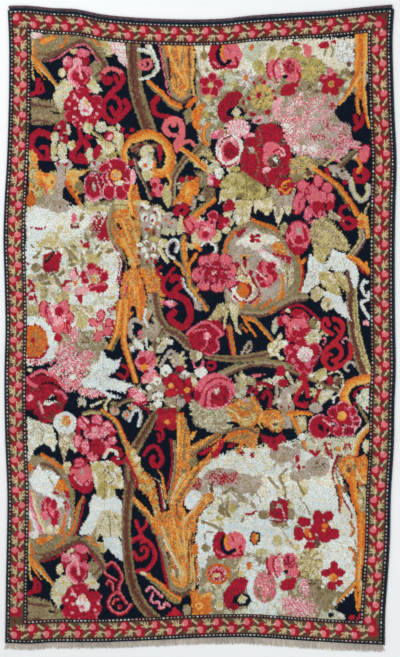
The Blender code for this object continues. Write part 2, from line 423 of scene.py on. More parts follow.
def paleGround():
    patch("field", "26,206 40,203 74,206 96,204 110,212 108,226 120,252 122,268 118,282 120,296 112,310 "
         "122,322 112,336 26,336", 2)
    patch("snow ivory", "26,226 36,204 48,206 46,222 58,232 52,248 40,256 38,276 30,280 26,276", 2)
    ovals("ash", "52,203,34,10 60,209,20,8 92,231,16,16")
    ovals("straw hay sage", "52,239,15,17 75,246,16,20 60,229,6,11,20 74,260,10,12 92,262,12,18 "
         "98,258,8,10 70,272,8,8 66,250,6,12,30")
    sprigs("sage tan straw olive", 26, "72,256,34,30 40,262,20,44 94,244,24,26", 8)
    sprigs("sage mauve straw", 20, "106,300,24,44 40,290,26,30", 8)
    ovals("tan olive", "36,268,9,10 43,277,12,7 59,262,5,5")
    ovals("straw tan straw", "44,293,8,14,20 62,298,16,14")
    leaves("olive tan", 5, "52,272,64,292 64,246,78,262")
    dots("crimson", 3, "31.5,227.5 36,228.5 39,229 41.5,228.5 45,227.5 28,264")
    line("crimson", 2.2, "81,241 84,244")
    ovals("crimson", "86,246,8,5 88,242.5,3,3")


def lowerGround():
    patch("field", "197,470 206,462 232,450 300,440 334,446 338,470 358,520 361,545 358,576 352,594 "
         "300,622 198,622", 2.2)
    patch("dusk", "199,566 207,556 248,552 270,558 300,560 330,588 344,592 336,608 316,622 286,622 "
         "262,600 240,612 198,622", 2.2)
    patch("snow", "199,524 206,518 236,524 290,512 294,528 286,546 268,550 248,548 244,556 212,545 "
         "205,568 199,566 195,540", 1.4)
    patch("snow ivory", "300,486 318,482 334,490 336,506 330,512 306,508 298,500", 1.6)
    ovals("ash mauve", "242,484,40,20 318,466,24,22 282,454,26,18 300,476,22,12")
    sprigs("mauve tan", 22, "242,490,44,40 300,456,50,24", 9)
    sprigs("olive sage straw", 14, "226,506,30,34 290,516,26,24", 9)
    line("olive tan", 3, "286,470 280,477 284,487 285,497")
    line("olive tan", 2.6, "268,477 276,486 284,493")
    ovals("hay", "286,478,7,9 304,488,10,18 281,492,8,8")
    line("olive", 2.4, "297,480 300,488 304,494")
    line("olive tan", 2, "300,498 306,506 310,514")
    line("olive", 2, "229,496 226,508 221,520 / 222,500 224,512")
    ovals("lime hay", "232,508,7,12 220,518,8,8")
    speckle("black umber", 0.5, "320,465,13,12")
    line("mauve tan", 2, "252,486 258,495 261,502 / 230,491 238,498 247,503")
    line("crimson", 2.8, "246,514 251,514 256,511")


def paleFeather():
    patch("straw hay", "99,38 113,39 116,52 108,57 103,50")
    patch("ivory shell", "111,39 125,43 126,53 132,61 133,71 119,61 117,55 111,52", 1)


def oliveRoof():
    patch("moss", "31,33 99,37 109,67 100,80 95,84 90,76 90,66 94,60 98,62 86,44 70,47 46,61 38,60 31,48")
    line("umber", 2.2, "38,53 45,55 59,50 84,38")
    line("umber", 4.2, "44,60 64,51 78,44 86,43 99,57 107,69")
    line("umber", 3, "103,66 101,71 96,76")
    line("pink", 1.8, "48,61 58,58 71,49 86,45 101,64")
    ovals("orange amber", "44,41,10,7,-20 52,38,9,4,-35")
    line("orange", 2.4, "67,34 67,40 60,48")
    ovals("blush ivory", "36,35,12,7")
    line("orange amber", 2.6, "90,39 92,37 97,44 102,45")
    ovals("hay", "74,51,8,5,-20")


def cornerLeaf():
    line("gold straw", 2.2, "33,40 32.6,70 34,79")
    line("orange", 3, "34,46 36,54 38,62")
    line("olive orange amber straw", 8, "34,58 59,88", "1,0.35")
    line("orange amber", 3.4, "34,62 38,70 44,79", "1,0.4")


def leftBranch():
    line("crimson", 4.6, "38,80 38,88 36,92 31,95")
    line("crimson", 3, "42,84 43,91 38,93")
    patch("moss", "31,97 54,103 58,109 66,112 68,120 60,124 31,124")
    line("umber", 4, "31,104 42,106 53,107", "1,0.5")
    line("umber", 3, "31,122 40,120 48,122")
    patch("navy", "49,110 62,114 54,114", 0.5)


def twinRoses():
    patch("chaff", "64,79 70,80 74,87 66,101 61,114 52,99 57,86")
    patch("hay sage", "86,86 90,74 102,90 98,94 92,92", 1)
    ovals("hay", "62,73,7,10")
    ovals("claret crimson", "81,61,17,15")
    ovals("pink", "83,53,14,8,10")
    ovals("blush pink", "68,62,10,11 77,62,10,9")
    patch("crimson", "62,66 75,66 77,74 73,80 68,74", 0.6)
    ovals("pink", "87,72,9,12 80,69,9,8")
    ovals("crimson claret", "82,78,18,15")
    line("petal", 4.8, "76,66 70,73 71,80 78,87")
    line("blush", 2.6, "79,64 80,71 81,78")
    line("pink", 1.6, "86,72 88,78 85,83")
    petals("crimson", "pink crimson", "83,92,14,9 96,101,12,10 98,112,10,11 93,122,11,9 81,123,13,9 "
         "71,116,11,11 70,104,11,12 75,95,10,9")
    ovals("crimson", "84,107,26,26")
    dots("blush", 3, "69,104 75,108 74,98 81,124 100,107 97,114 74,117 91,91")
    line("blush", 2, "74,94 78,101")
    patch("ivory blush ivory", "85,97 93,109 90,115 82,115 78,107 80,101", 0.6)
    line("gold", 2.6, "85,100 88,105")
    ovals("pink", "84,111,6,4")


def crimsonS():
    line("coral", 4.6, "104,72 108,69 114,69 120,72 123,76")
    line("crimson", 4.6, "103,75 104,80 108,83 111,80 108,78")
    line("crimson", 5.6, "122,76 122,82 107,98 104,104 104,113 109,120 115,121 128,108 125,101")
    line("crimson", 4.6, "113,96 119,101 120,109 115,114 111,108")
    line("crimson", 3.6, "115,76 118,83")


def darkStem():
    line("olive olive umber umber brown umber olive", 14, "133,38 135,80 139,100 150,132")


def paleScroll():
    line("ivory sage", 6, "147,42 157,65 155,72 149,77 140,79", "1,0.5")
    line("ivory sage", 4, "139,50 145,51 149,53")
    line("coral", 3.6, "140,61 140,67 147,69 151,65 149,60 144,61 145,65")


def stripedFoot():
    patch("ember amber", "162,42 193,42 195,74 189,96 181,99 174,97 162,56", 0.8)
    line("pink", 2, "159,42 167,87 171,95")
    line("olive tan olive", 3.6, "162,43 170,85 174,95")
    line("umber black umber", 3.2, "168,59 169,68 170,79")
    line("gold", 2.4, "168,44 173,61 185,83")
    line("gold amber", 2.2, "178,42 179,55 186,78 186,88 180,92 174,88 172,80")
    line("tan olive", 1.8, "183,43 183,56 181,66")
    line("umber", 2.4, "190,43 189,56 190,67")
    line("umber olive", 2.2, "174,74 177,83")
    line("gold", 2.4, "194,52 192,78 194,94")
    line("olive", 2, "190,70 190,86 187,94")
    line("tan olive", 4.4, "173,95 177,98 183,99 190,95")
    line("umber", 3.6, "172,100 180,103 189,99")


def slantLeaf():
    line("orange amber olive", 8.5, "149,83 164,96 170,103 178,107", "0.7,1", 0, 5, 0.25)


def topScrolls():
    line("crimson", 6.4, "157,98 153,104 154,111 159,115 171,117", "1,0.6")
    line("coral", 6, "169,134 165,129 167,122 174,119 180,122 182,130 181,140 177,148")
    ovals("coral", "173.5,124,6,7 174,135,6,4")
    line("coral", 5, "179,138 175,145 177,151", "1,0.6")
    line("coral", 4, "178,150 184,143 190,141 194,145", "0.7,1")


def leftScrolls():
    line("crimson", 8, "50,136 44,133 37,133 32,139 31,147 42,160", "0.8,1")
    line("crimson", 6.4, "41,148 45,147 48,152 48,167", "0.6,1")
    line("crimson", 4.6, "79,131 81,136 82,142")
    line("crimson", 6.6, "88,149 86,143 81,141 73,153 75,159 88,161")
    line("crimson", 4, "83,161 83,156 80,155")
    ovals("crimson", "89,137,8,5,20")


def sprigsByTheScrolls():
    line("olive straw", 3.4, "84,126 106,141 122,148")
    ovals("hay sage", "68,130,5,12 55,138,8,12 54,150,6,15 62,150,10,18 71,145,8,9 55,158,7,6 63,158,7,8 "
         "88,128,9,10,20 101,127,12,11,20 111,129,9,6 118,127,4,6 108,148,13,11,30 90,155,7,14 "
         "116,137,9,12 121,139,4,12")
    leaves("hay", 7, "97,139,110,151 86,122,90,134 121,134,119,150")
    ovals("crimson", "62,124,8,7 56,128,5,5 64,130,7,6 61,135,5,8 66,137,4,8 66,141,5,6 62,140,5,4 "
         "109,136,9,10,30 97,152,8,14,15 99,147,5,4")
    dots("mauve", 3, "59,127 65,133 62,138")
    ovals("blush", "110,137,5,6,20")
    dots("crimson", 5, "122,130 132,130 127,136")
    ovals("mauve ivory", "64,165,18,10 96,165,12,11")
    ovals("tan hay", "104,159,10,7")
    ovals("crimson", "58,163,3,5,-20 66,164,5,3,-40 60,168,3,4 65,169,3,3 94,163,3,4,-20")


def amberCorner():
    patch("straw olive straw amber", "29,150 37,160 38,170 46,174 57,170 56,200 44,206 29,206", 1)
    patch("navy", "37,160 54,161 53,168 47,172 41,170", 0.6)
    ovals("amber gold", "50,181,15,15 40,176,9,11 34,157,6,14,-20")
    ovals("gold", "49,181,7,7")
    ovals("orange", "41,183,7,6 45,175,6,4")
    line("coral orange", 3, "45,186 47,196")
    dots("umber", 2.6, "52,182 29,182 28,189 32,192 38,189 34,187 43,198 50,198 60,207")
    ovals("orange rust", "31,200,10,14")
    ovals("ash tan", "46,202,22,14 58,192,10,22")
    ovals("mauve", "61,178,10,26")
    patch("amber gold straw", "66,169 90,170 78,177 85,191 78,194 70,188 66,178", 1)
    line("amber orange rust", 7.5, "68,183 83,210", "1,0.3")
    ovals("olive", "80,187,9,12,-20")
    dots("umber", 3, "75,192 80,199 71,187")


def stemsAndFlames():
    line("olive umber olive", 7, "205,142 198,150 192,156")
    line("tan umber olive", 7, "187,157 178,169 173,181 172,203")
    line("amber orange gold", 8, "181,149 188,153 208,171", "0.6,1", 0, 4, 0.25)
    ovals("crimson", "182,180,7,6,20 190,178,7,4,-20")
    patch("orange amber orange", "199,176 199,195 194,195 192,204 187,206 186,211 183,201 172,205 "
         "185,183 192,180", 0.8)
    ovals("amber gold", "189,193,7,14,10")
    patch("olive tan", "194,172 206,171 210,178 208,186 199,188 200,178")
    ovals("ivory sage", "219,173,8,12")
    ovals("straw sage", "211,169,9,8")
    ovals("blush pink", "212,180,9,12")
    ovals("crimson", "217,182,8,11,-20")
    ovals("olive umber", "209,194,14,15")
    line("orange amber olive", 11, "213,200 196,214 189,223", "0.6,1.1", 0, 3)
    line("crimson", 4.4, "182,205 187,210 181,215 175,212 178,207")
    patch("olive tan", "183,112 191,108 194,120 186,124", 0.8)
    line("orange", 5, "188,106 195,99")
    patch("orange amber orange", "195,108 202,102 205,106 199,122 202,128 198,131 193,126 191,114", 0.8)
    line("amber orange", 4, "208,124 204,129 203,138 207,144")


def orangeRing():
    patch("olive umber navy", "130,146 140,142 158,142 162,152 160,168 150,178 140,174 132,160", 0.8)
    line("orange amber gold", 6, "126,163 124,152 129,142 139,136", "0.8,1.2")
    line("orange amber gold", 10, "136,139 146,135 156,136 165,143 170,154 170,165 165,172 156,174",
         "0.8,1")
    line("orange", 2, "132,136 141,131 154,131 162,136")
    line("wine", 2.2, "132,150 139,146 146,145 154,148")
    line("crimson", 4.4, "160,146 160,153 158,160")
    line("navy", 3.6, "155,150 157,158 158,167")
    ovals("hay sage olive", "147,153,14,16 147,174,11,13")
    ovals("ivory sage", "146,164,15,13")
    ovals("orange", "145.5,165.5,4.4,4")
    line("orange amber", 3.4, "155,162 154,169 158,173")
    ovals("crimson", "132,163,7,5,-40")
    line("umber tan", 3.8, "135,160 139,173 151,198")
    patch("navy", "135,170 146,188 143,197 137,182", 0.6)
    ovals("pink coral", "155,182,11,9 158,190,12,14")
    ovals("crimson", "154.5,185.5,5,6 161,189,4,5 153,194,6,5")
    leaves("straw", 9, "166,184,168,207")
    line("amber gold", 4, "168,175 171,182 170,187", "1,0.4")


def garnetPair():
    patch("tan olive sage", "84,196 100,202 120,198 128,206 124,214 84,210")
    ovals("hay straw", "121,203,14,9 104,209,16,6 90,204,8,5")
    petals("crimson", "pink blush", "117,165,20,12,10 128,177,8,16 105,168,12,9,-30 108,178,11,13,-20 "
         "109,192,12,14,10 121,192,12,14,-10 128,187,9,9")
    ovals("blush", "133,177,5,18")
    ovals("claret crimson", "116,176,22,20")
    line("blush", 1.8, "109,170 107,178 111,185")
    line("blush", 1.6, "116,185 115,196 / 122,182 128,183 126,178")
    ovals("amber gold", "116,175.5,11,11")
    ovals("mauve", "116,175.5,4,5")
    ovals("cream", "119,183,9,5")
    petals("wine crimson", "blush pink", "94,186,18,26")
    line("blush", 1.6, "91,176 96,176 101,194")
    ovals("mauve", "94,187,4,8")
    line("pink blush", 4, "87,196 93,200 100,197")


def goldLeaves():
    ovals("lime straw", "271,54,10,18,20 259,67,12,16,-30 280,60,8,12,30 233,83,9,9 208,98,7,9 "
         "209,114,9,9 226,73,10,6")
    ovals("lime olive straw", "290,51,24,11,-12 300,58,10,8")
    line("olive", 1.6, "268,60 272,48")
    line("olive", 1.4, "258,72 261,62")
    fan("lime olive straw lime", 312, 69, 26, 26, 311, 70, 7)
    ovals("olive sage", "228,78,16,10 214,112,12,22 346,76,12,16")
    dots("gold", 3, "348,78 312,68 314,72")
    line("olive", 2.6, "204,44 204,50")
    ovals("olive gold olive", "204,56,8,10")
    ovals("tan", "207,70,5,6 201,77,6,5 322,80,12,10")


def darkPoppy():
    ovals("crimson claret", "217,56,17,28")
    ovals("pink coral", "231,56,22,27")
    line("crimson", 2, "226,45 230,52")
    line("pink", 2.4, "213,62 219,66 226,69")
    line("crimson", 3.2, "236,58 238,66 233,66")
    line("crimson", 3, "220,68 226,66 231,67")
    line("navy", 4.2, "221,47 218,53 219,60 224,64 230,61")
    line("orange amber", 3.6, "223,47 222,54 225,59")


def openRose():
    ovals("pink coral", "272,69,11,20,10")
    line("crimson", 2.4, "267,63 267,71 270,79")
    ovals("pink blush pink", "279,70,10,24,8")
    line("crimson", 2.4, "279,59 274,65 274,75 277,82")
    ovals("pink coral pink", "291,70,20,24,-15")
    fan("crimson pink claret", 289, 67, 12, 14, 288, 71, 9)
    line("cream", 2, "281,64 282,69 284,76")
    line("crimson", 2.6, "297,70 300,77 297,83")
    ovals("navy", "286,76.5,5,4")
    ovals("crimson", "288,90,15,12 294,85,8,6 284,92,8,8")


def smallBlooms():
    star("crimson", 211, 85, 12, 5, "pink", "straw", None, -80)
    fan("mauve ivory mauve", 246, 78, 19, 18, 246, 78, 7)
    ovals("orange", "246,78,4,6 251.5,48,5,6")
    ovals("coral", "308,51,8,14 305,46,6,6 260,77,5,4")
    ovals("crimson", "296,44,8,4 324,45,11,7,-20 334,42,6,4")
    star("crimson", 331, 84, 13, 5, None, "amber", "olive", -80)
    ovals("pink crimson", "331,72,7,7 324,77,7,5")
    dots("umber", 5, "355,51 349,64 353,73")
    ovals("umber olive", "310,88,5,8 316,91,6,4 327,98,6,3,40")
    ovals("ivory mauve", "320,86,4,8")


def speckledBloom():
    ovals("mauve blush", "278,108,12,30,-10 268,84,14,8 262,120,22,10")
    fan("straw lime olive gold", 262, 97, 25, 27, 261, 97, 10)
    ovals("crimson", "259,95,6,7 254,84,3,6 264,82,5,5 249,98,4,6,20 244,102,4,5 273,91,4,3 275,98,4,5 "
         "268,112,6,5,-30 253,114,7,4,20 246,111,4,5 261,79,2,4 258,121,6,3,-20")
    line("olive umber", 1.4, "266,94 262,104 258,112")


def blackHeartedPoppy():
    patch("crimson claret crimson", "217,106 228,92 238,90 243,95 236,108 236,118 230,124 221,122 "
         "217,114", 0.8)
    patch("navy", "227,110 236,106 243,108 246,114 240,120 232,119 228,123 226,117", 0.8)
    patch("hay sage", "231,113 236,107 241,111 238,117 234,116", 0.6)
    ovals("wine", "228,119,9,6")


def lilac():
    patch("tan mauve tan", "286,98 300,92 336,96 340,104 334,112 284,130 280,116")
    patch("mauve blush mauve", "296,112 326,108 352,122 356,136 366,140 350,146 344,158 322,160 298,154 "
         "286,140")
    speckle("pink coral pink blush ivory mauve", 0.95, "296,118,34,34 312,108,16,26,30 299,100,10,20,20 "
         "292,136,22,26")
    speckle("ivory blush pink mauve", 0.9, "310,148,40,18 296,132,24,20 292,108,10,18,20")
    speckle("crimson mauve blush crimson", 0.9, "318,137,24,10 326,124,18,12,-20 335,107,10,14,-40 "
         "334,150,26,12,10")
    speckle("blush pink crimson mauve", 0.95, "350,136,32,10 338,142,26,16")
    ovals("mauve", "340,120,16,10,-20 332,134,12,8 322,143,12,6")
    line("wine", 1.6, "324,126 334,125 344,127")
    dots("navy", 3, "331,119 336,146 344,130")
    ovals("ivory", "304,146,5,8 296,149,5,5 313,149,8,5 287,126,5,6")
    ovals("mauve tan", "318,128,14,9,-20 336,118,12,8 304,142,10,7 328,146,14,6 300,112,8,10 "
         "346,132,10,6")
    speckle("navy umber", 0.45, "354,118,18,44 338,160,50,8 366,138,10,30")
    speckle("crimson pink blush", 0.5, "340,130,40,10 352,142,26,8")
    speckle("mauve tan sage", 0.3, "318,126,60,60")
    leaves("blush pink", 3.4, "338,112,352,104 346,124,362,118 352,134,368,133 346,146,364,148 "
         "330,156,342,163 322,106,326,94")


def rightAcanthus():
    patch("navy", "338,104 353,92 358,96 360,118 370,128 370,152 352,138 350,124 340,122 334,112", 0.8)
    line("gold amber orange amber", 13, "362,36 362,54 360,68 361,94", "1.2,0.8", 0, 4, 0.2)
    line("amber orange", 3.4, "358,92 357,104 359,113")
    line("gold amber orange", 5.4, "363,90 366,114 369,127", "1,0.5")
    line("gold orange", 6.4, "358,76 346,96 339,104", "1,0.4")
    line("rust olive", 1.4, "362,40 362,98")
    ovals("mauve", "367,78,4,9")
    line("crimson", 4.6, "355,116 357,123 / 364,115 361,124 355,129")


def blushRose():
    fan("ivory blush pink blush ivory", 238, 128, 24, 18, 240, 142, 34)
    ovals("blush pink", "250,138,13,10,30 218,134,16,8,-20")
    ovals("blush ivory", "230,150,29,33")
    line("olive", 1.4, "219,136 226,132 234,134 240,142")
    ovals("pink coral", "229,151,22,25")
    line("ivory", 2.6, "221,158 220,148 226,138 234,136 240,142")
    line("wine", 2, "220,146 224,139 231,136")
    ovals("wine crimson", "231,151,16,17")
    line("blush", 2, "224,142 231,140 236,146")
    line("ivory", 4.4, "241,142 242,150 240,157")
    line("ivory", 3, "228,163 233,161 237,158")
    line("crimson", 2.2, "217,159 222,165 229,166 236,163")


def crimsonRose():
    petals("crimson claret crimson", "umber crimson", "269,135,26,23 252,145,16,15 248,158,14,22,10 "
         "245,171,8,12,20 258,176,18,23,10 271,175,20,22,-10 284,160,14,32")
    ovals("crimson", "262,160,30,26")
    ovals("mauve ivory", "251,150,7,5")
    line("umber olive", 1.6, "247,146 250,153 258,152")
    ovals("coral pink", "272,149,18,14,15 267,158,9,15")
    ovals("blush", "282,152,6,9,-20")
    line("crimson", 2.4, "274,152 278,149 283,153")
    ovals("umber olive", "274,161,13,14")
    patch("ivory", "275,156 279,158 278,164 272,159", 0.5)
    line("black", 1.4, "275,155 278,161 274,166")
    ovals("blush ivory", "266,170,9,5,-20")
    line("umber olive", 1.4, "256,152 259,164 256,176 / 265,172 268,182 264,188 / 283,164 281,174 "
         "276,184 / 259,130 262,142 258,146")


def goldFan():
    fan("straw olive gold tan", 303, 167, 28, 24, 308, 168, 10)
    ovals("tan olive", "296,178,16,10 318,162,14,6")
    line("straw", 3, "325,165 330,161 335,157")
    line("olive umber", 5, "340,166 347,159 355,152")
    ovals("mauve tan", "334,169,14,8,20 344,175,14,9,30")
    ovals("umber", "309,173,6,6")
    dots("black", 3, "307,169 319,168 342,171")
    dots("crimson", 5, "327,170 328,175 345,182")
    line("orange amber", 5.4, "316,170 337,185 352,205 357,214", "0.8,1")
    line("olive", 1.6, "316,173 336,188 350,210")
    petals("pink coral", "crimson", "364,154,10,17,15")
    petals("crimson", "wine crimson", "361,175,16,15,20")
    line("orange amber", 3.4, "357,158 361,166 358,172")
    ovals("navy", "360,176,5,4")
    line("straw sage mauve", 5.4, "351,180 353,191 360,200 367,196 368,186")


def rosette():
    patch("mauve tan sage", "271,187 281,182 296,186 294,198 288,206 277,206 272,196")
    star("crimson", 285, 186, 9, 6, "crimson", "amber", "navy", -60)
    line("amber orange", 2.4, "280,190 283,184 289,181")
    line("amber", 2.4, "281,190 286,193 290,189")


def paleDroop():
    patch("straw lime olive", "223,178 232,172 244,172 262,184 270,196 258,200 226,196 220,186", 1)
    patch("straw hay", "220,190 234,190 236,202 250,204 272,196 273,208 268,216 258,204 252,206 246,238 "
         "242,228 236,224 238,210 222,200 219,204", 1)
    line("olive", 1.6, "246,178 247,192 245,206")
    line("olive", 1.4, "236,178 238,190")
    ovals("ivory sage", "219,173,9,12 237,216,8,14 246,222,7,16")
    petals("crimson", "crimson pink", "229,207,9,10")


def droopFingers():
    patch("straw hay", "236,200 253,200 247,227 243,226 237,212", 0.8)
    line("olive", 1.4, "243,204 242,220")
    patch("hay", "254,200 272,200 268,216 257,208 256,214 254,212", 0.8)
    patch("mauve tan mauve", "274,196 294,196 292,206 276,208", 0.8)
    patch("cream", "273,206 282,207 284,212 278,226 275,216", 0.6)
    ovals("tan mauve", "278,212,5,12")
    patch("cream hay", "283,206 293,206 289,216 286,213", 0.6)


def coralRose():
    petals("pink coral pink", "crimson", "304,187,15,11,35 299,203,11,22,10 318,181,8,11 327,188,10,10 "
         "329,199,11,11 312,192,13,14,10 321,197,11,12")
    ovals("coral pink", "314,198,16,11")
    line("crimson", 2, "299,212 300,202 305,195 311,192 / 307,188 310,194")
    ovals("crimson", "330,206,8,11 317,209,16,16")
    ovals("pink", "308,214,8,14,10 322,216,8,10,-10 315,222,12,5")
    line("pink", 2, "311,206 313,213 317,217")
    line("wine", 1.6, "316,204 322,208 322,216")


def littleBloom():
    ovals("hay", "92,210,9,9 80,208,8,6 100,208,9,6")
    ovals("ivory", "85,221,10,15 80,212,9,6")
    ovals("straw olive", "81.5,217,5,9,20")
    ovals("wine umber", "75,226,11,6")
    ovals("pink coral", "74,219,6,11")
    ovals("mauve", "75,224,5,5")


def crimsonHanging():
    ovals("shell", "94,218,7,9 96,214,6,4")
    speckle("crimson crimson wine", 0.62, "98,224,14,24,20 102,238,12,10")
    patch("crimson", "110,213 109,243 105,238 101,241 97,239 106,217")
    line("crimson", 3.6, "107,228 114,245 119,251", "1,0.7")


def tornRose():
    patch("crimson", "43,255 53,251 56,254 57,250 62,254 59,271 47,273 41,268 43,264", 1)
    ovals("claret", "49,269,12,6")
    line("umber black", 3.6, "45,261 49,258 53,252")
    line("umber olive", 2.4, "46,273 50,275 57,272")


def mauveBloom():
    ovals("mauve blush", "73,275,10,11 67,288,9,9 84,290,10,9 79,291,10,8")
    line("crimson", 2.4, "75,268 77,273 79,277")
    line("crimson", 3.6, "63,285 66,282 70,281")
    patch("orange", "73,281 79,279 75,288", 0.8)
    patch("crimson", "75,295 83,294 82,304 78,301", 0.6)


def fivePetals():
    petals("crimson", "crimson blush", "91.5,268,8,9 85,275,8,8 85,281,7,6 100,271,10,6,20 "
         "104,276,7,10,20 98,287,19,10")
    ovals("pink mauve", "92,274,12,10")
    ovals("hay tan", "95,279,9,10")
    ovals("olive amber", "94,279,4,5")
    line("pink", 2.2, "90,288 96,285 104,284")


def crimsonEdge():
    line("crimson ivory wine", 3.6, "119,257 121,264 118,280")
    speckle("crimson wine pink", 0.6, "119,280,8,12 122,293,9,11 112,308,12,8")
    line("crimson", 3.2, "29,280 34,287 31,291")
    ovals("crimson", "29,285,4,4 28,294,4,4 31,298,5,5 35,297,3,8,-20 33,291,5,3")


def orangeClaw():
    line("olive tan", 6, "112,210 109,224 112,238 120,249 124,258", "1,0.6")
    patch("ember", "112,214 124,206 137,184 143,216 138,250 140,264 134,270 124,250 116,242 111,230", 1)
    ovals("hay", "120,205,14,9,10")
    line("olive", 1.4, "114,205 125,205")
    line("gold", 2.2, "117,220 121,219 125,227 130,242")
    line("gold", 2, "129,214 134,228 134,236")
    ovals("black umber", "119,226,3,7,-35 133,218,2.4,6,-40")
    line("olive", 2, "112,216 114,226 118,234")
    line("orange gold", 7, "132,186 130,198 133,212", "0.7,1", 0, 3)
    line("gold amber", 5, "122,240 131,258 134,268")
    line("olive umber", 2, "122,254 126,264 125,273")
    line("straw gold", 3.4, "134,232 138,242 137,252")


def orangeFronds():
    patch("ember orange", "124,272 132,268 144,268 150,264 162,274 160,281 166,295 160,297 164,307 "
         "156,304 148,290 150,316 146,330 138,322 136,310 128,318 126,334 116,338 122,300 120,290", 1)
    line("navy black", 2.6, "137,270 142,277 148,301", "0.4,1")
    ovals("navy", "147,306,4,14 133,309,6,7 149,297,5,5")
    line("crimson pink", 2, "127,284 126,292 122,298")
    ovals("gold straw", "160,275,5,4 157,294,4,6,-30 162,301,4,4 131,262,5,10,-20")
    line("straw gold", 1.6, "128,278 134,286 134,298")
    line("olive", 1.6, "151,270 154,280 158,290")


def whiteSprigs():
    patch("ash olive", "136,205 160,205 163,213 160,240 163,252 151,270 141,267 137,256 142,238 140,222")
    ovals("straw gold", "141,203,16,6")
    ovals("ivory", "143,204,5,5 147,207,6,5 144.5,217,7,9,10 153,219,6,11 156,211,5,7 159.5,214,4,5 "
         "160,219,4,5 158.5,227,4,5 151.5,227,3,3 146.5,237,3,6,10 146,242,6,4 140,245,6,5 144,250,6,6 "
         "147,256,5,5 153.5,247,5,8 153,256,6,4")
    ovals("crimson wine", "142,207.5,3,3 145,218,2.4,5,30 152.5,220.5,3,4 155.3,212.5,2.6,4.4 "
         "147,229,4,3.6 153.5,232,3,5 147,243,2.4,2.4 139,248,3,3 153,249,2,4.6 139,256,2.6,5 "
         "147,261.5,2.6,4 151.5,258.5,3,4 155,261,3.6,5", 0.3)
    ovals("orange", "149.5,230,4,3 157,223.5,2.6,4")
    ovals("lime straw", "154,239,9,6")
    patch("straw hay", "158,242 162,238 168,240 168,247 158,249", 0.8)
    line("hay", 5, "160,249 164,257 168,262", "1,0.6")
    line("hay", 3.4, "160,208 163,213 168,215")


def greyBlooms():
    ovals("sage hay", "166,231,9,9 173,231,6,9 180,228,7,14,10")
    ovals("mauve", "166,221,10,14 173,224,11,11 170,214,8,4")
    ovals("orange", "166,220,3,4 171.5,223,3,3")


def greyScrolls():
    line("mauve sky", 4.2, "176,251 178,244 174,240 169,243 167,249 169,255 174,258", "1,0.7")
    line("mauve ivory", 4, "201,245 205,241 211,242 216,247 215,253 209,256")


def crimsonScrolls():
    line("crimson", 3.6, "183,204 175,213 181,214 186,211 187,206 184,204")
    line("crimson", 3.4, "161,267 157,270 159,275 163,279")
    line("crimson", 5, "174,268 164,281 163,288 166,293 173,295", "0.7,1")
    line("crimson", 6, "172,280 175,277 181,279 182,285 176,289 174,295")
    line("crimson", 6.6, "171,295 180,297 187,302 190,311 190,319 184,327 175,324 170,317 174,312")
    patch("pink blush", "159,300 172,301 178,304 171,308 161,303", 0.8)


def heartStem():
    line("umber amber olive", 7, "184,238 183,248 189,279 193,290 206,308")
    line("amber orange", 3, "185,243 185,250 186,257")
    line("tan amber", 3.4, "175,261 181,266 184,274")
    line("amber orange", 3.6, "196,254 188,268 191,276")
    line("sky mauve", 3, "183,279 185,287 195,300 196,308")
    line("amber olive", 4.6, "190,276 197,278 199,284 196,290 192,288")
    patch("glow orange", "191,241 199,242 202,250 199,252 194,247", 0.8)
    ovals("umber mauve", "199,306,7,10")
    ovals("hay straw", "197,238,12,11 216,236,11,13,20 181,224,6,16 191,246,6,5")


def roseBuds():
    ovals("pink coral", "190.5,225,14,18")
    line("crimson", 2.6, "188,217 184,222 190,234")
    line("crimson", 2.4, "190,221 194,225 193,230 189,233")
    petals("pink coral", "pink", "201,226,9,9 210,226,9,9 212,232,8,8 202,234,8,8 206,238,8,6")
    ovals("blush coral", "206,229,10,8")
    line("crimson", 2, "199,230 201,225 206,226")
    ovals("crimson", "205.5,234.5,7,8")
    petals("crimson", "pink", "213,216,9,9 212,222,4,5")
    ovals("hay sage", "228,214,9,9 231,222,5,8 226,230,9,7")
    ovals("pink", "225,222,10,10")
    petals("crimson", "crimson", "221,220,5,6 221,226,5,5 226,220,5,5")
    petals("crimson", "crimson wine", "229,203,5,6 232,206,4,5 227,209,5,5")


def globe():
    patch("olive tan olive", "222,252 225,240 233,229 252,219 277,227 300,262 302,276 299,290 270,314 "
         "252,318 236,314 226,304 220,270", 0.8)
    line("orange", 3, "225,254 226,243 236,231")
    line("orange", 3.4, "252,220 271,227 277,231")
    patch("mauve ash mauve", "227,256 230,242 238,231 246,227 270,233 290,253 294,264 294,280 286,292 "
         "270,300 240,306 226,298 224,276", 1)
    patch("crimson wine crimson", "236,232 248,226 242,236 237,238", 0.8)
    patch("ivory cream ivory", "236,246 236,242 253,231 256,228 262,234 275,236 280,240 276,245 270,243 "
         "266,246 262,244 259,251 252,250 250,246 245,248 242,243", 0.8)
    petals("crimson wine", "crimson", "252.4,236.4,3.4,3 257.4,235.6,3.4,3 252.6,240.4,3.4,3 "
         "257.4,240.6,3.4,3")
    patch("shell ivory", "257,252 261,248 284,264 286,274 262,257", 0.8)
    patch("flame orange", "270,248 276,241 282,243 288,255 278,254", 0.8)
    line("crimson", 2.6, "273,254 291,258")
    petals("crimson", "crimson", "286,261,8,9")
    ovals("mauve", "285.5,260,2.4,4 282,262,4,5")
    ovals("hay tan", "289,275,9,22 285,266,8,8")
    line("olive umber", 1.6, "287,270 288,280 286,290")
    line("orange amber", 4.4, "281,274 283,284 280,296 275,306", "0.6,1")
    line("orange", 3, "270,300 266,305 260,309")
    line("tan olive tan", 8, "300,288 270,311")
    line("orange", 2.6, "284,293 280,301 273,308")
    line("orange olive", 5, "297,257 300,267 301,279 299,290")
    line("crimson", 1.8, "303,266 303,278 300,289")
    ovals("amber orange", "304,261,4,7,35")


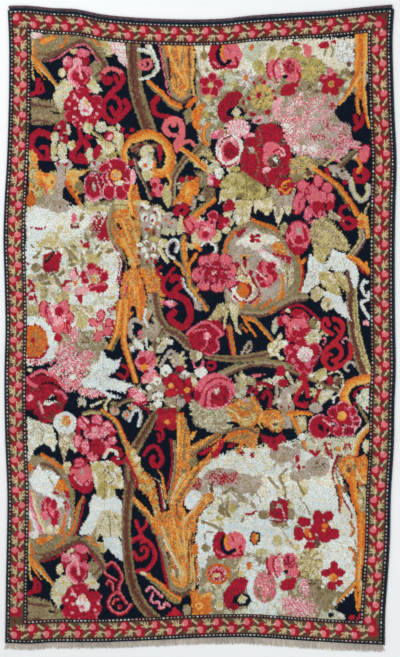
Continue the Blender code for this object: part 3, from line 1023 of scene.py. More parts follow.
def globeFlowers():
    patch("amber", "240,255 249,255 243,262", 0.6)
    ovals("navy", "244.5,259,4,6")
    ovals("crimson wine", "245.5,264,5,8 235.5,265,6,6")
    line("crimson", 2, "238,263 242,268 244,272")
    line("hay", 2.4, "242,266 246,273")
    ovals("hay", "248,266,3,8 236,272,8,6")
    ovals("crimson", "251,273,5,6")
    petals("crimson", "crimson pink", "262,267,7,12,20 260,277,7,12,-20 271,266,8,7 273,276,8,12 "
         "266,284,12,6")
    ovals("pink coral", "265,269,6,12 268,279,9,12 264,264,4,6")
    ovals("crimson", "269,270,5,8,-20 266,276,4,5")
    line("ivory blush", 2, "256,271 261,275 266,279")
    ovals("ivory cream", "241,289,26,27")
    ovals("crimson wine", "242,290,20,22")
    ovals("ivory", "236,292,9,13 240,298,10,6")
    ovals("rust olive orange", "243,290,13,16")
    line("crimson", 2, "237,283 242,282 248,286 250,291")
    patch("hay gold", "234,279 240,274 249,275 253,284 239,281", 0.6)
    line("crimson", 1.8, "229,283 234,277 242,274 249,277")
    line("ivory hay", 3.4, "249,278 254,285 255,293 252,300")
    line("crimson wine", 3, "251,276 259,292 255,299 250,303")
    ovals("mauve", "256,292,4,8,20")
    ovals("wine mauve", "230,292,5,8 234,285,5,5")
    line("crimson", 2.6, "234,296 239,301 246,302")
    patch("orange amber", "250,306 263,296 256,306", 0.8)


def zinnia():
    petals("pink coral", "wine", "204,261,12,10,-30 214,258,11,9 226,260,13,10,20 232,270,9,12 "
         "230,282,11,11 218,287,14,9 204,285,12,10,20 197,275,10,13")
    petals("claret pink", "pink", "206,266,10,6,-30 217,264,10,6 227,268,9,6,20 229,277,8,7 220,282,11,6 "
         "206,280,11,6,20 202,272,7,7")
    petals("pink crimson", "wine", "210,271,8,6,-30 220,270,8,6,20 222,276,8,6 214,279,9,6 208,275,6,5")
    petals("blush", "crimson", "214,273,6,5")
    speckle("wine crimson", 0.34, "215,272,40,34")


def hangingBud():
    ovals("tan straw", "284,229,8,13")
    petals("pink coral pink", "crimson", "298,237,24,30")
    ovals("crimson", "289,230,5,8,20 306,236,4,14,-10 298,250,14,10 291,243,6,10")
    line("pink blush", 2, "293,228 291,236 294,243")
    line("crimson", 2, "303,228 305,236 303,244")
    petals("mauve", "pink", "299,231,5,8")
    ovals("crimson", "299,240,9,9")
    line("pink", 2, "293,246 298,245 303,247")


def bigLeaf():
    patch("olive straw tan straw", "312,222 326,215 346,238 350,246 347,252 333,248 322,265 315,258 "
         "310,234")
    line("tan", 1.6, "318,220 346,246")
    line("umber tan", 1.6, "314,224 316,236 322,250 324,260")
    line("straw", 1.8, "322,220 334,228 342,238")
    line("tan umber", 1.4, "314,236 320,246 330,248")
    patch("tan mauve", "327,214 331,210 344,222 331,219", 0.6)
    line("cream", 1.4, "330,211 338,216 344,221")
    ovals("straw lime", "320,256,13,18")
    line("tan olive", 1.4, "318,248 322,256 318,264")


def rightStem():
    patch("snow ivory", "332,304 346,302 351,313 346,319 336,311", 1)
    line("straw olive straw umber brown umber tan", 14, "351,262 353,320 360,356 370,382", "0.7,1")


def whiteDroop():
    patch("snow ivory", "311,253 318,262 326,264 333,249 347,255 358,270 358,284 354,289 346,271 338,272 "
         "330,268 322,272 322,280 306,294 301,293 308,272 308,260", 1.2)
    speckle("mauve sage", 0.4, "313,276,14,28,20 340,262,24,14 328,266,12,10")
    patch("straw lime hay", "320,273 326,269 332,274 338,271 346,275 351,291 345,291 339,285 341,294 "
         "335,300 318,280")
    line("olive tan", 1.4, "332,274 338,280 344,288 / 322,276 330,274 336,272")
    patch("straw mauve hay", "311,291 318,286 324,290 322,298 316,302 311,299", 0.8)
    patch("snow", "322,290 340,296 352,321 326,304", 1)
    ovals("hay", "327,304,12,14")
    ovals("tan", "328,305,4,5")
    line("umber", 4, "347,271 352,291 349,300")


def goldFlower():
    line("olive straw", 2.4, "369,204 366,210 365,216")
    patch("glow gold", "356,218 361,213 368,216 370,237 366,238 357,226", 0.8)
    ovals("orange", "361,223,6,7 364,229,4,4")
    line("crimson", 4, "348,205 342,208 340,213 345,219 349,217")
    line("crimson", 5, "342,223 347,228 353,226 356,222 351,220")
    line("umber mauve olive straw", 7, "362,232 362,241 351,256")
    line("amber orange", 5.4, "349,257 356,260 369,272")
    ovals("amber", "366,266,5,10")
    line("crimson", 1.6, "359,268 365,274 370,277")
    line("ivory sky", 3.2, "367,282 364,281 362,287 364,294 368,297 / 369,293 367,300 361,303 369,318")
    ovals("blush", "366,323,7,5")


def tanGround():
    patch("dusk tan", "56,336 66,326 80,331 92,330 106,340 109,346 102,352 99,362 90,370 88,388 78,352 "
         "60,352 52,362 50,350", 1.2)
    patch("hay tan straw", "67,305 92,305 95,315 82,331 75,314", 0.8)
    ovals("straw hay", "80,322,8,16")
    line("ivory", 1.8, "81,308 92,319")
    line("umber", 1.6, "79,328 83,334 88,339 / 80,342 88,342")
    ovals("ivory", "100,309,10,9")


def zinniaInWhite():
    patch("tan straw tan", "26,305 40,305 42,316 30,320 26,318")
    patch("snow ivory", "26,317 36,316 53,329 58,344 54,358 30,372 26,370", 1.4)
    ovals("orange rust orange", "34,341,28,33")
    speckle("olive amber olive", 0.4, "35,342,24,28")
    line("crimson", 3, "25,358 38,358 44,355 48,347")
    dots("crimson", 3, "28,326 35,325 40,327 37,363 34,365")
    ovals("crimson", "33,340,4,6")
    speckle("pink crimson blush", 0.5, "38,362,24,8")
    patch("navy", "26,366 47,364 47,372 40,370 34,376 26,374", 0.8)
    ovals("hay", "30,370,5,4")


def lilacByTheFeather():
    speckle("pink blush ivory mauve pink coral", 0.95, "74,335,10,18,10 66,352,24,20 72,366,42,26 "
         "88,355,13,12 72,382,32,20 90,392,30,11,10 54,373,14,16 62,386,20,18")
    ovals("shell", "73,377,8,5")
    dots("ivory", 2.4, "56,369 58,372 72,369 66,374 78,368")


def leftPinkRose():
    petals("pink coral", "crimson", "44,309,8,16 50,316,8,18,-10 64,308,10,14 70,318,7,12 66,328,9,10 "
         "58,326,12,14")
    ovals("pink blush", "56,315,18,22")
    line("crimson", 2, "50,303 46,310 51,325")
    ovals("crimson", "59,312,9,10 58,338,9,8")
    line("ivory", 1.8, "52,308 53,315")
    line("crimson", 2.2, "70,319 67,325 68,331")


def pinkStar():
    petals("pink coral", "crimson", "101,315,7,9 93,322,8,7,20 109,323,7,8 107,331,9,9 98,336,7,11,10")
    line("crimson", 2.4, "112,322 114,328 111,334")
    ovals("pink", "100,326,9,10")
    ovals("hay sage", "100,327.5,5,7")
    line("crimson", 1.6, "97,322 101,321 105,324")
    speckle("crimson", 0.5, "110,310,9,14 116,324,8,10")


def whiteFeather():
    patch("snow ivory sky", "101,352 105,351 107,358 114,361 121,358 118,368 108,377 135,386 126,388 "
         "125,393 109,389 104,391 122,398 110,398 96,388 86,388 80,382 90,374 92,364 98,362", 1)
    speckle("sage mauve", 0.34, "102,376,26,20")
    line("wine crimson", 3.6, "122,365 129,370 124,378 119,374")


def crimsonPeony():
    patch("crimson claret crimson", "26,378 42,374 56,377 67,398 62,413 57,416 56,422 44,424 34,413 "
         "33,407 26,411")
    line("pink coral", 4, "26,378 30,383 37,387")
    line("pink coral", 3.4, "31,376 40,371 48,373 58,379 64,388")
    line("black", 2.4, "42,384 50,383 58,386 64,392 67,399")
    ovals("wine umber", "32,389,4,5 60,405,6,10,20 51,416,6,10 43,419,8,6 38,406,3,10,-20 40,388,8,4")
    patch("mauve ivory black", "43,403 52,394 57,395 58,401 45,407", 0.5)
    line("pink", 3.2, "56,391 62,393 66,398")
    ovals("blush pink", "30,398,9,7")
    line("blush pink", 2.6, "39,402 41,408 43,413")
    line("crimson", 3, "28,404 34,400 36,393")


def smallHeartBranch():
    line("olive umber umber tan", 9, "155,296 158,315 162,323 168,330 178,335 189,346")
    line("olive umber olive", 6, "162,329 157,338 152,356")
    patch("tan mauve tan", "142,328 157,321 163,327 156,338 152,342 142,334", 0.8)
    line("mauve", 4.6, "131,336 129,326 134,320 142,322")
    line("mauve sky", 4, "147,311 145,318 148,326")
    ovals("pink coral", "140,333,5,5 141,337,4,3")
    patch("ivory", "134,338 144,346 143,351 135,346", 0.5)
    line("ivory", 2.2, "146,338 146,344 148,350")
    ovals("ivory", "132,349,4,6,-20 170,342,5,5 167,339,3,3")
    line("mauve", 3.6, "160,366 171,351 178,362 174,365")
    ovals("hay sage", "158,340,4,5 151,349,5,6")


def hangingLeaves():
    patch("straw tan straw", "208,320 218,304 228,303 228,312 216,321", 0.8)
    patch("sage hay", "228,303 240,303 237,323 242,335 236,331 230,312", 0.8)
    line("hay", 2.4, "228,311 225,319 225,328")
    ovals("umber", "221,319,4,9,35 229,326,5,5 241,327,7,6")
    line("orange olive orange crimson", 6.4, "229,328 234,358", "1,0.7")
    line("orange amber", 5, "242,303 243,314 247,324 256,336", "1,0.3")
    line("olive orange amber", 5.4, "248,317 258,323 274,342", "1,0.6")
    line("orange", 2.4, "243,328 247,331")
    line("mauve tan", 2.6, "241,356 249,342 251,348 247,352")


def branches():
    line("olive tan umber", 9, "244,312 256,313 268,311 292,299 304,297")
    line("orange", 3, "270,312 276,307")
    line("olive umber olive", 8, "207,356 234,359 269,354", "0.7,1")
    line("olive tan umber", 8, "221,375 236,368 252,363 268,363 284,366 300,373")
    line("navy", 1.4, "238,364 246,363 254,362")
    line("umber olive", 4, "290,369 338,391")
    patch("pink coral", "251,374 266,374 254,378", 0.5)


def orangeStems():
    line("amber gold orange", 6, "120,303 116,332 109,348", "1.1,0.7")
    line("olive", 2, "124,326 119,337 112,350")
    line("orange gold amber orange", 8, "126,303 124,332 125,346 136,381", "1,0.6")
    line("orange amber", 7, "138,288 140,304 140,321", "1,0.4")


def raggedPinkBloom():
    patch("pink coral blush", "134,362 140,351 153,351 157,363 153,368 161,378 152,384 148,380 143,385 "
         "141,379 144,373 138,369", 0.8)
    ovals("crimson", "142,361,8,9 146,371,6,4")
    line("crimson", 1.8, "147,364 152,360 154,355")
    ovals("orange amber", "144,367,8,6")
    patch("pink blush", "128,391 131,387 142,391 148,399 146,404 139,406 130,397", 0.8)
    line("crimson", 3, "128,396 134,403 140,404 148,400")
    ovals("ivory blush", "140,391,4,6 138,399,3,4")


def crimsonStars():
    ovals("tan mauve olive", "152,388,12,8 150,396,6,12 172,401,16,12 176,406,10,12 164,376,8,8 "
         "162,388,12,12 190,377,10,8 160,410,12,6")
    ovals("umber mauve", "182,376,6,10,-30 181,401,10,12 176,374,5,6")
    ovals("ivory", "166,371,11,12 157,381,9,9 149,388,5,5 158,397,12,10 158,404,9,7 186,373,9,5,20 "
         "201,372,13,11")
    ovals("tan", "166,373,3,4 157,382,3,4 156,398,4,5 161,398,3,4 187,372,2,2")
    petals("crimson scarlet", "wine crimson", "180,369,6,5 173,378,9,7 166,381,7,6,20 179,384,8,8 "
         "171,393,12,7 189,382,8,7,-30 188,398,6,8 181,391,6,6 194,388,5,6")
    ovals("crimson", "172,386,13,11 186,390,12,9")
    ovals("gold amber", "171,386,6,5 187,390,6,5")
    line("wine", 3, "143,408 148,409 149,414")
    ovals("hay", "172,409,8,8 195,383,6,12,-20")


def spiralRose():
    patch("crimson claret crimson", "187,337 193,327 204,320 218,320 223,325 224,333 218,338 219,345 "
         "215,353 208,355 192,348 189,343", 1)
    line("pink coral", 2.8, "187,334 192,329 197,326")
    line("pink", 1.6, "193,332 198,330 205,329")
    line("pink", 3, "199,324 205,322 211,324 221,332")
    ovals("pink blush", "207,336,8,7")
    line("pink", 1.8, "202,350 206,346 207,341")
    line("pink", 2.2, "223,334 217,339 219,346 216,351 210,355 204,353")
    patch("tan cream", "190,349 202,352 202,358 194,363 190,358", 0.6)
    line("pink", 2.6, "193,362 195,367 199,368 203,364 203,361")
    line("crimson", 3, "208,363 213,362 215,366 211,370 208,367")


def roundRose():
    ovals("mauve sage", "275,325,6,16,10 309,332,8,10")
    petals("crimson", "pink crimson", "281,321,7,8 298,313,12,6 305,318,7,7 307,328,6,10 302,336,9,7 "
         "291,338,9,5")
    ovals("pink coral", "286,319,8,8 291,328,12,20 299,322,14,12 303,326,10,12")
    ovals("crimson", "298,332,13,11 305,331,6,7")
    ovals("mauve blush", "296,327,4,6")
    line("pink", 1.6, "297,321 296,326 299,330")
    line("crimson", 2, "290,321 294,318 301,318 / 286,326 289,334 294,338")
    line("crimson", 2.6, "282,313 290,307 299,305 307,309 319,319")
    patch("umber olive", "307,320 319,318 315,328 310,327", 0.6)
    ovals("hay", "288,311,5,4")


def whitePetals():
    patch("ivory hay", "267,345 277,339 280,333 283,335 280,341 286,340 289,345 279,350 279,355 285,359 "
         "281,361 276,356 270,356 268,350", 0.8)
    line("tan olive", 1.8, "273,352 277,346 279,340")
    patch("hay tan ivory", "303,338 310,333 314,338 318,336 320,343 313,345 309,341", 0.8)
    patch("hay ivory", "304,373 309,367 312,374 326,366 327,378 320,382 311,378", 0.8)
    line("tan olive", 1.6, "313,378 317,373 322,370")
    ovals("crimson", "281,371,9,11,-30 283,383,11,8 277,374,4,4")
    patch("mauve hay", "283,361 293,380 290,381 285,375 287,370", 0.6)
    patch("hay ivory sage", "316,384 326,392 330,390 332,396 321,405 318,400 320,394", 0.8)
    line("crimson", 3.6, "320,390 317,396 313,402")


def whiteHeartedRose():
    petals("crimson", "pink crimson", "290,350,10,11 292,359,10,9 301,343,12,8 314,350,9,13 312,361,8,11 "
         "301,368,11,8 308,370,7,6")
    ovals("crimson", "302,356,28,24")
    ovals("pink", "297,347,6,5 290,352,5,4 293,361,4,5 308,364,6,8 296,366,4,4")
    line("pink", 2, "318,344 321,351 317,358 312,361")
    line("pink", 1.8, "294,366 300,372 306,372")
    ovals("ivory blush ivory mauve", "305,354,16,15")


def crimsonCurls():
    line("wine crimson", 4.4, "245,393 251,390 254,385 261,383 271,386 / 263,397 267,391 271,397 270,406")
    line("wine crimson", 4, "255,386 257,392 252,397 257,400")
    line("crimson scarlet", 5, "303,374 305,382 296,397 297,403 305,406")
    line("crimson scarlet", 4.8, "304,380 307,388 308,396")
    ovals("crimson", "302,378,9,6 306,404,6,5")


def greyTrumpet():
    line("mauve tan", 3.6, "276,385 277,394 274,403")
    ovals("blush ivory", "274,381,4,7")
    patch("mauve ash", "280,391 293,384 296,391 290,396 295,407 292,428 282,428 282,412 276,406 280,402 "
         "276,402 280,396", 0.8)
    ovals("ivory hay", "289,397,4,9 279,401,6,3,-30")
    ovals("crimson", "281,407,2.4,2.6 289,407,2.4,4")
    ovals("mauve", "316,408,13,11")


def scarletScroll():
    line("scarlet", 4.4, "329,325 326,319 322,324 325,330 332,334")
    line("scarlet", 4.8, "334,319 340,321 343,329 336,341 325,351 323,358 326,365 333,369 348,360 "
         "351,352 350,345")
    line("scarlet", 3.6, "336,328 340,333")
    line("scarlet", 4.6, "331,346 337,345 341,350 341,356 337,359")
    line("scarlet", 3.8, "325,361 328,355 331,355 / 333,360 337,364 334,368")
    line("blush pink", 2.2, "321,339 324,338 326,341 323,344 / 349,341 346,338 342,341 344,344")
    line("mauve", 3, "348,371 345,368 348,363 352,362 355,366")


def sunrise():
    patch("sage chalk", "357,393 369,384 369,414 356,402", 1)
    line("orange amber gold", 9, "347,406 344,396 347,388 354,382 370,378")
    line("crimson", 3, "354,396 357,391 362,388 368,387")
    ovals("navy", "359,392,5,5")
    dots("crimson", 4, "355,404 367,408")
    line("olive", 3, "358,405 364,415 369,424")
    line("ivory hay", 2.2, "330,373 338,372 342,376 343,384 339,394")
    ovals("tan umber", "337,381,9,10")
    patch("crimson", "325,379 331,375 334,382 330,386", 0.5)
    line("ivory", 1.8, "333,402 335,397 339,395")


def smallMauveBlooms():
    ovals("mauve", "115,411,9,9 127,415,9,9")
    dots("orange", 3.4, "115,411 127,415 130,408")
    line("umber olive", 4, "116,407 123,402 132,399")
    line("mauve sky", 4, "129,420 133,412 138,409 141,416 139,425")
    line("olive umber", 5, "147,428 151,418 158,411 168,409")
    line("olive straw", 4, "84,414 92,412 100,413")
    line("ivory hay", 2.2, "91,406 98,403 104,400")
    line("hay", 3, "106,413 105,405 109,399")


def daisyAndDroop():
    patch("ivory sage cream", "27,417 46,424 52,424 57,442 54,451 45,443 36,447 28,464", 1)
    speckle("tan mauve", 0.4, "40,428,22,12")
    line("tan", 1.4, "44,430 42,440")
    patch("tan cream sage", "59,428 74,430 79,440 76,454 69,446 64,462 59,445", 0.8)
    ovals("ivory sky", "65,423,23,22")
    speckle("mauve sage", 0.3, "65,424,22,20")
    ovals("orange straw orange", "66,421,9,12")


def largePinkRose():
    petals("pink blush pink", "crimson", "83,423,11,12,-20 97,420,10,11 107,427,10,11,20 78,441,8,13 "
         "112,440,7,9 85,447,8,15 93,457,12,7 106,448,8,14 111,431,8,7")
    ovals("crimson", "78,430,5,9 96,426,14,5 112,434,5,7 80,450,6,5")
    ovals("pink blush pink", "96,433,24,13")
    line("crimson", 2.2, "80,417 90,429 87,433")
    ovals("crimson claret", "98,447,16,18")
    line("pink", 2, "102,440 106,446 104,454")
    ovals("pink coral", "92,455,9,6")
    dots("wine", 3, "94,454 97,444")


def roseBudInStraw():
    ovals("hay", "67,468,9,13")
    petals("pink coral", "crimson", "80,463,10,8 81,476,23,26")
    line("crimson", 2.2, "71,467 78,468 86,464 86,460")
    patch("crimson", "69,476 74,473 82,484 90,478 94,486 90,492 83,494 69,482", 0.6)
    petals("mauve", "pink", "82,472,4,6")
    line("pink blush", 3, "75,477 78,482 81,484")
    ovals("pink", "87,484,5,4 90,478,4,8")


def secondGlobe():
    patch("olive tan olive", "28,462 33,455 53,458 62,465 75,494 74,522 66,540 44,556 28,560", 0.8)
    line("orange", 3.6, "42,455 62,468")
    patch("mauve ash mauve", "28,476 34,466 54,474 69,496 71,510 68,524 60,536 46,542 28,542")
    line("umber", 4, "42,464 50,466 57,473 61,480")
    patch("snow ivory", "29,480 38,464 42,470 52,471 60,477 52,492 58,498 64,498 64,506 58,508 52,500 "
         "33,489", 0.8)
    line("sage tan", 2.4, "49,477 53,484 56,490")
    patch("orange amber orange", "55,488 58,481 63,479 70,491 66,493 58,491", 0.6)
    ovals("crimson", "56,493,5,3 35,468,3,4 67,494,5,8,-20 66,503,6,4")
    ovals("orange", "30,468,5,8 31,495,6,8 29,526,4,14 38,543,16,7")
    petals("crimson", "crimson pink", "45,506,6,12 53,505,7,11 48,501,6,7 54,522,6,7 56,514,6,8")
    ovals("pink coral", "46,508,4,11,-20 51,512,6,12,-20 44,516,10,9")
    line("crimson", 2.4, "47,509 50,516 54,520")
    line("hay pink blush ivory", 11, "31,498 33,510 42,532")
    line("pink coral", 2.4, "30,496 31,506 36,516")
    line("olive mauve", 1.4, "32,508 37,520 40,532")
    speckle("crimson pink", 0.6, "68,508,8,12")
    ovals("hay cream", "50,530,6,12 57,530,5,10")
    line("orange", 4, "65,515 64,524 60,533 54,541", "0.7,1")
    line("ivory", 2, "70,518 69,528")
    line("olive orange", 6, "83,498 79,506 75,526 70,536", "0.6,1")
    line("crimson", 2, "85,500 77,530 73,536")


def paleAcanthus():
    patch("straw hay ivory", "90,462 110,461 121,468 124,488 115,492 117,498 110,504 98,500 93,478", 0.8)
    patch("snow ivory", "94,494 104,500 116,496 124,504 126,524 120,541 114,528 106,524 94,539 88,534 "
         "82,536 79,532 90,512 89,503", 1.2)
    patch("hay straw", "101,512 112,510 123,530 118,536 114,524 106,524 95,543 88,540 98,520", 0.8)
    ovals("lime straw", "103,490,11,14 112,488,8,5")
    line("olive", 1.5, "108,464 108,474 / 103,479 108,484 114,479 108,474 103,479 / 99,478 105,470 "
         "106,463 / 112,464 114,472 120,478")
    line("olive tan", 1.6, "99,491 103,488 106,494 102,499 / 107,513 109,521 111,532 / 112,514 117,520 "
         "120,530")
    line("tan", 2.4, "100,522 96,530 92,537")
    line("snow", 9, "104,530 120,556 129,563", "1,0.35")
    line("navy", 3, "115,527 117,533 119,539")
    patch("hay", "96,543 104,542 108,548 104,553 98,550", 0.6)
    line("umber", 3, "122,510 125,520 126,532")
    line("cream ivory", 3.4, "104,457 110,450 116,452 118,458")
    ovals("navy", "118,490,6,4 99,541,7,3")
    patch("snow sky", "103,534 114,529 131,563 117,558 104,544", 1)
    patch("cream straw sage cream", "96,520 108,512 120,513 127,520 125,533 116,538 104,537 97,532", 1)
    line("olive tan", 1.5, "105,512 102,522 98,531 / 108,513 110,524 110,536 / 112,513 118,521 120,532")


def crimsonByTheStem():
    line("crimson", 3.4, "112,447 119,449 122,454 118,457")
    line("crimson", 5, "113,459 119,463 127,460 130,466")
    line("orange amber olive", 5.4, "102,411 116,422 124,440 133,457", "0.9,1.1")


def crimsonKnot():
    petals("crimson", "crimson wine", "161,413,9,8 172,412,9,8 176,419,8,8 172,426,9,7 162,424,9,8 "
         "159,418,7,8")
    ovals("crimson scarlet", "168,419,16,13")
    ovals("amber", "167,422,5,4")
    line("crimson", 3.6, "156,428 161,430 163,436 159,441")
    line("crimson", 3, "158,434 160,440")
    line("crimson", 5.6, "144,455 148,449 155,446 160,452 162,460 158,466 152,463 153,457", "0.6,1")


def darkStalk():
    line("olive umber brown olive", 10, "154,416 132,454", "0.8,1")
    line("umber brown olive umber", 12, "130,462 130,490 128,504")


def berryGround():
    ovals("mauve ash", "222,478,38,20 196,492,26,30")
    speckle("crimson", 0.66, "223,478,36,15 196,486,16,9,-50 185,497,12,12 183,504,8,5")
    ovals("snow", "193,500,16,20,30")
    patch("crimson scarlet", "213,446 221,438 226,440 216,459 212,456", 0.8)
    line("umber", 3, "211,484 212,492")


def goldCurls():
    patch("tan sage tan", "190,406 196,402 206,407 228,404 235,408 236,418 232,428 216,434 194,424")
    line("hay", 1.6, "191,414 197,413 201,408 206,411 200,416 / 205,421 209,416 213,420 208,424 / "
         "220,409 231,422 226,428 / 214,410 217,414 213,417")
    patch("flame straw", "225,403 254,396 262,410 262,420 254,426 244,427 232,420 226,412")
    patch("ember amber", "256,412 268,409 280,411 284,420 282,430 276,433 262,424")
    line("orange", 3, "231,404 237,407 241,413 249,414")
    line("hay gold", 2.4, "228,409 235,413 241,420 250,418")
    line("olive tan", 2.4, "246,402 252,404 250,410 245,408")
    line("orange amber", 2.4, "252,400 258,406 256,414")
    ovals("umber olive", "233,402,5,4")
    line("gold", 2, "262,414 259,422 262,428")
    ovals("hay gold", "275,424,10,9")
    ovals("umber", "275.5,424.5,5,4")
    patch("ember olive", "210,450 234,429 248,426 260,428 256,449 250,449 245,444 239,455 235,452 "
         "240,444 222,440 214,452")
    line("olive umber", 3.4, "220,434 244,428 256,432")
    line("olive", 2.4, "228,441 236,438 248,436")
    line("orange", 3, "226,438 236,433 248,431")
    ovals("crimson wine", "232,445,9,4,-25 242,453,4,5 252,455,4,6")
    patch("crimson claret", "260,434 274,438 282,433 286,440 278,446 279,451 275,452 262,441", 0.8)
    ovals("navy", "231,423,10,3.4")
    ovals("sage tan", "240,390,14,18 250,381,12,8")
    sprigs("sage tan mauve straw", 8, "244,388,26,24", 8)
    ovals("pink coral pink", "215,391,40,36")
    ovals("crimson claret", "222,396,22,22")
    ovals("crimson", "197,396,6,12 204,404,6,7 212,403,6,8")
    line("crimson", 2.2, "199,399 203,389 210,381 220,378 231,382")
    ovals("pink coral", "212,388,10,9")
    line("crimson", 2.2, "206,404 206,395 211,387 221,383")
    line("pink", 2.6, "202,405 203,396 207,388 214,383")
    line("pink", 2.2, "210,406 208,398 211,391")
    ovals("ivory mauve", "217,391,4,7,30")
    line("crimson", 2, "213,388 219,386")
    line("blush pink", 2, "206,408 216,409 226,405 233,397")
    line("pink", 2, "228,388 231,394 229,400")


def orangeArms():
    line("orange amber", 6, "289,414 300,413 311,414", "1,0.6")
    patch("straw tan hay", "295,417 306,417 307,430 301,432 296,425", 0.8)
    line("orange amber olive", 6, "293,420 306,449", "1,0.6")
    ovals("ivory", "302,437,8,7")


def groundByTheCurl():
    patch("sage cream tan", "306,432 330,438 356,436 356,450 348,456 316,456 306,446")
    line("crimson", 3, "325,443 327,450 329,455")
    line("crimson", 2.4, "331,450 332,458 / 346,444 344,448 / 349,444 351,449")
    line("crimson", 3.6, "311,451 315,455 319,451")
    ovals("crimson", "297.5,459,5,8 299,467,4,7 304,467,3,3 330,444,4,3")
    line("umber mauve", 2.4, "311,439 315,443")
    ovals("olive amber", "338,449,6,6")


def crimsonPair():
    petals("crimson", "blush pink", "320,427,21,23")
    ovals("crimson", "329,420,8,8 332,430,6,8")
    line("blush", 2, "324,420 328,424 334,424")
    ovals("black", "321.5,428,5,9,-20 328,430,3,5")
    petals("crimson claret", "pink blush", "339,431,10,10 349,431,11,9 333,412,9,9 343,407,12,9 "
         "352,412,9,10 356,421,8,11 349,423,8,6")
    ovals("crimson", "342,417,18,16")
    line("pink", 2, "334,420 338,425 336,430 / 350,416 353,421 359,420")
    line("pink", 1.8, "345,408 350,410 350,416")
    ovals("gold amber", "342,416,9,9")


def greatOrangeCurl():
    line("orange amber hay", 7, "369,427 362,434 357,443 355,453")
    ovals("hay sage", "366,446,7,12")
    patch("ember orange", "338,460 350,453 356,457 365,455 369,462 369,483 360,486 356,481 348,483 "
         "338,470", 0.8)
    line("gold", 2, "348,460 352,460 346,464 344,470 348,475")
    line("gold hay", 2.4, "353,462 361,479 368,484")
    ovals("umber olive", "349,470,5,6")
    ovals("olive", "355,466,4,6 354,480,8,4")
    line("amber", 2.4, "360,466 364,472 366,478")
    line("olive", 2.4, "340,458 336,467 337,477 341,487")
    line("crimson wine", 3, "338,456 334,465 333,475 336,485 350,511 352,518", "1,0.6")
    ovals("umber olive", "345,489,7,8 362,487,6,4")
    line("amber orange", 9, "352,480 356,503 361,514 362,524", "1,0.8", 0, 5, 0.25)
    line("orange umber", 7, "338,487 340,498 340,512", "1,0.35")
    patch("straw tan hay", "359,486 368,488 369,530 361,530 362,516 358,500", 0.8)
    line("olive umber", 2, "360,490 364,500 362,508")
    ovals("straw", "359,478,6,4")


def crimsonRoseBelow():
    ovals("tan olive", "264,515,12,10 291,514,9,12 279,523,16,8")
    patch("crimson claret crimson", "270,504 273,500 277,501 279,497 288,501 288,520 271,518 269,511",
         0.6)
    ovals("umber", "272,506,5,9 279,499,4,4")
    ovals("mauve", "279,506,6,5")
    line("blush", 1.6, "282,508 285,517")
    line("wine", 2, "270,520 279,522 287,520")


def twoStars():
    ovals("umber", "317,542,7,12,-10 301,520,6,8")
    petals("crimson", "crimson wine", "299,534,9,12 304,522,13,8 316,528,9,11 310,548,9,13 318,517,9,12 "
         "328,516,10,8 325,537,12,10 334,534,9,10")
    ovals("crimson", "310,535,12,14 324,528,14,14")
    ovals("orange", "307,532,6,9,-10 325,526,6,6")
    ovals("gold", "310,535,3,6,-20 324,530,4,3")
    ovals("hay", "289,542,10,8,30 296,547,9,6")
    line("hay olive", 2.4, "280,527 287,537 293,545")


def eyeBloom():
    again(darkPoppy, 4, 489)
    ovals("navy", "255,538,11,14")
    ovals("orange", "254.5,538,6,11")
    ovals("gold", "257,537,3,7")
    ovals("straw sage", "277,541,11,12 262,552,12,8")
    fan("sky ivory sage", 249, 567, 20, 19, 249, 567, 8)
    ovals("orange rust", "249.5,566,6,8")
    line("hay", 2.6, "236,570 240,562 243,557")
    ovals("hay", "241,574,6,7 306,521,1,1")
    line("olive tan", 1.6, "213,532 205,533 206,544")
    ovals("tan olive", "206,548,9,8")
    line("olive tan", 3.4, "202,522 212,525 222,530")
    line("hay", 3, "210,521 219,521 223,525")


def ringBloom():
    ovals("orange rust", "218,574,24,21")
    ovals("mauve blush", "218,574,18,15")
    speckle("crimson", 0.8, "218,574,18,15")
    ovals("gold hay", "216,575,7,4")
    line("hay", 2, "214,585 219,590 223,586 / 204,587 208,583 212,590")


def veiledRose():
    patch("sky ivory sage", "246,578 262,564 280,570 287,576 284,584 289,590 282,610 270,616 256,613 "
         "250,606 248,596", 1.2)
    ovals("pink olive blush tan", "265,587,24,32")
    ovals("olive", "260,592,6,12 269,598,4,8")
    speckle("pink coral blush", 0.6, "266,584,20,28")
    line("olive umber", 1.4, "262,570 268,574 272,582")


def secondCarnation():
    again(openRose, 0, 495)


def bottomPoppy():
    again(blackHeartedPoppy, 6, 487)


def secondLilac():
    speckle("pink blush ivory blush pink", 0.9, "300,609,36,22 305,588,12,20 316,601,10,12 288,604,14,18")
    ovals("tan olive", "324,598,22,18 314,588,10,8")
    fan("straw hay olive", 310, 562, 26, 27, 309, 560, 9)
    ovals("olive straw", "318,578,7,9 306,575,8,8")
    speckle("black umber", 0.7, "313,583,9,7 320,588,6,5")


def lastStar():
    petals("crimson", "crimson wine", "334,566,6,8 326,573,8,7 340,573,8,7 332,585,7,8 339,583,6,5 "
         "333,571,9,7")
    ovals("orange amber", "333,578,9,8")
    dots("gold", 4, "330,578")
    ovals("ivory", "325,581,4,6 323,587,4,4")
    patch("ivory sage", "318,618 330,610 345,612 346,620 320,622", 0.8)
    ovals("ivory sage", "335,602,4,9,20")
    ovals("navy", "331,615,5,5")


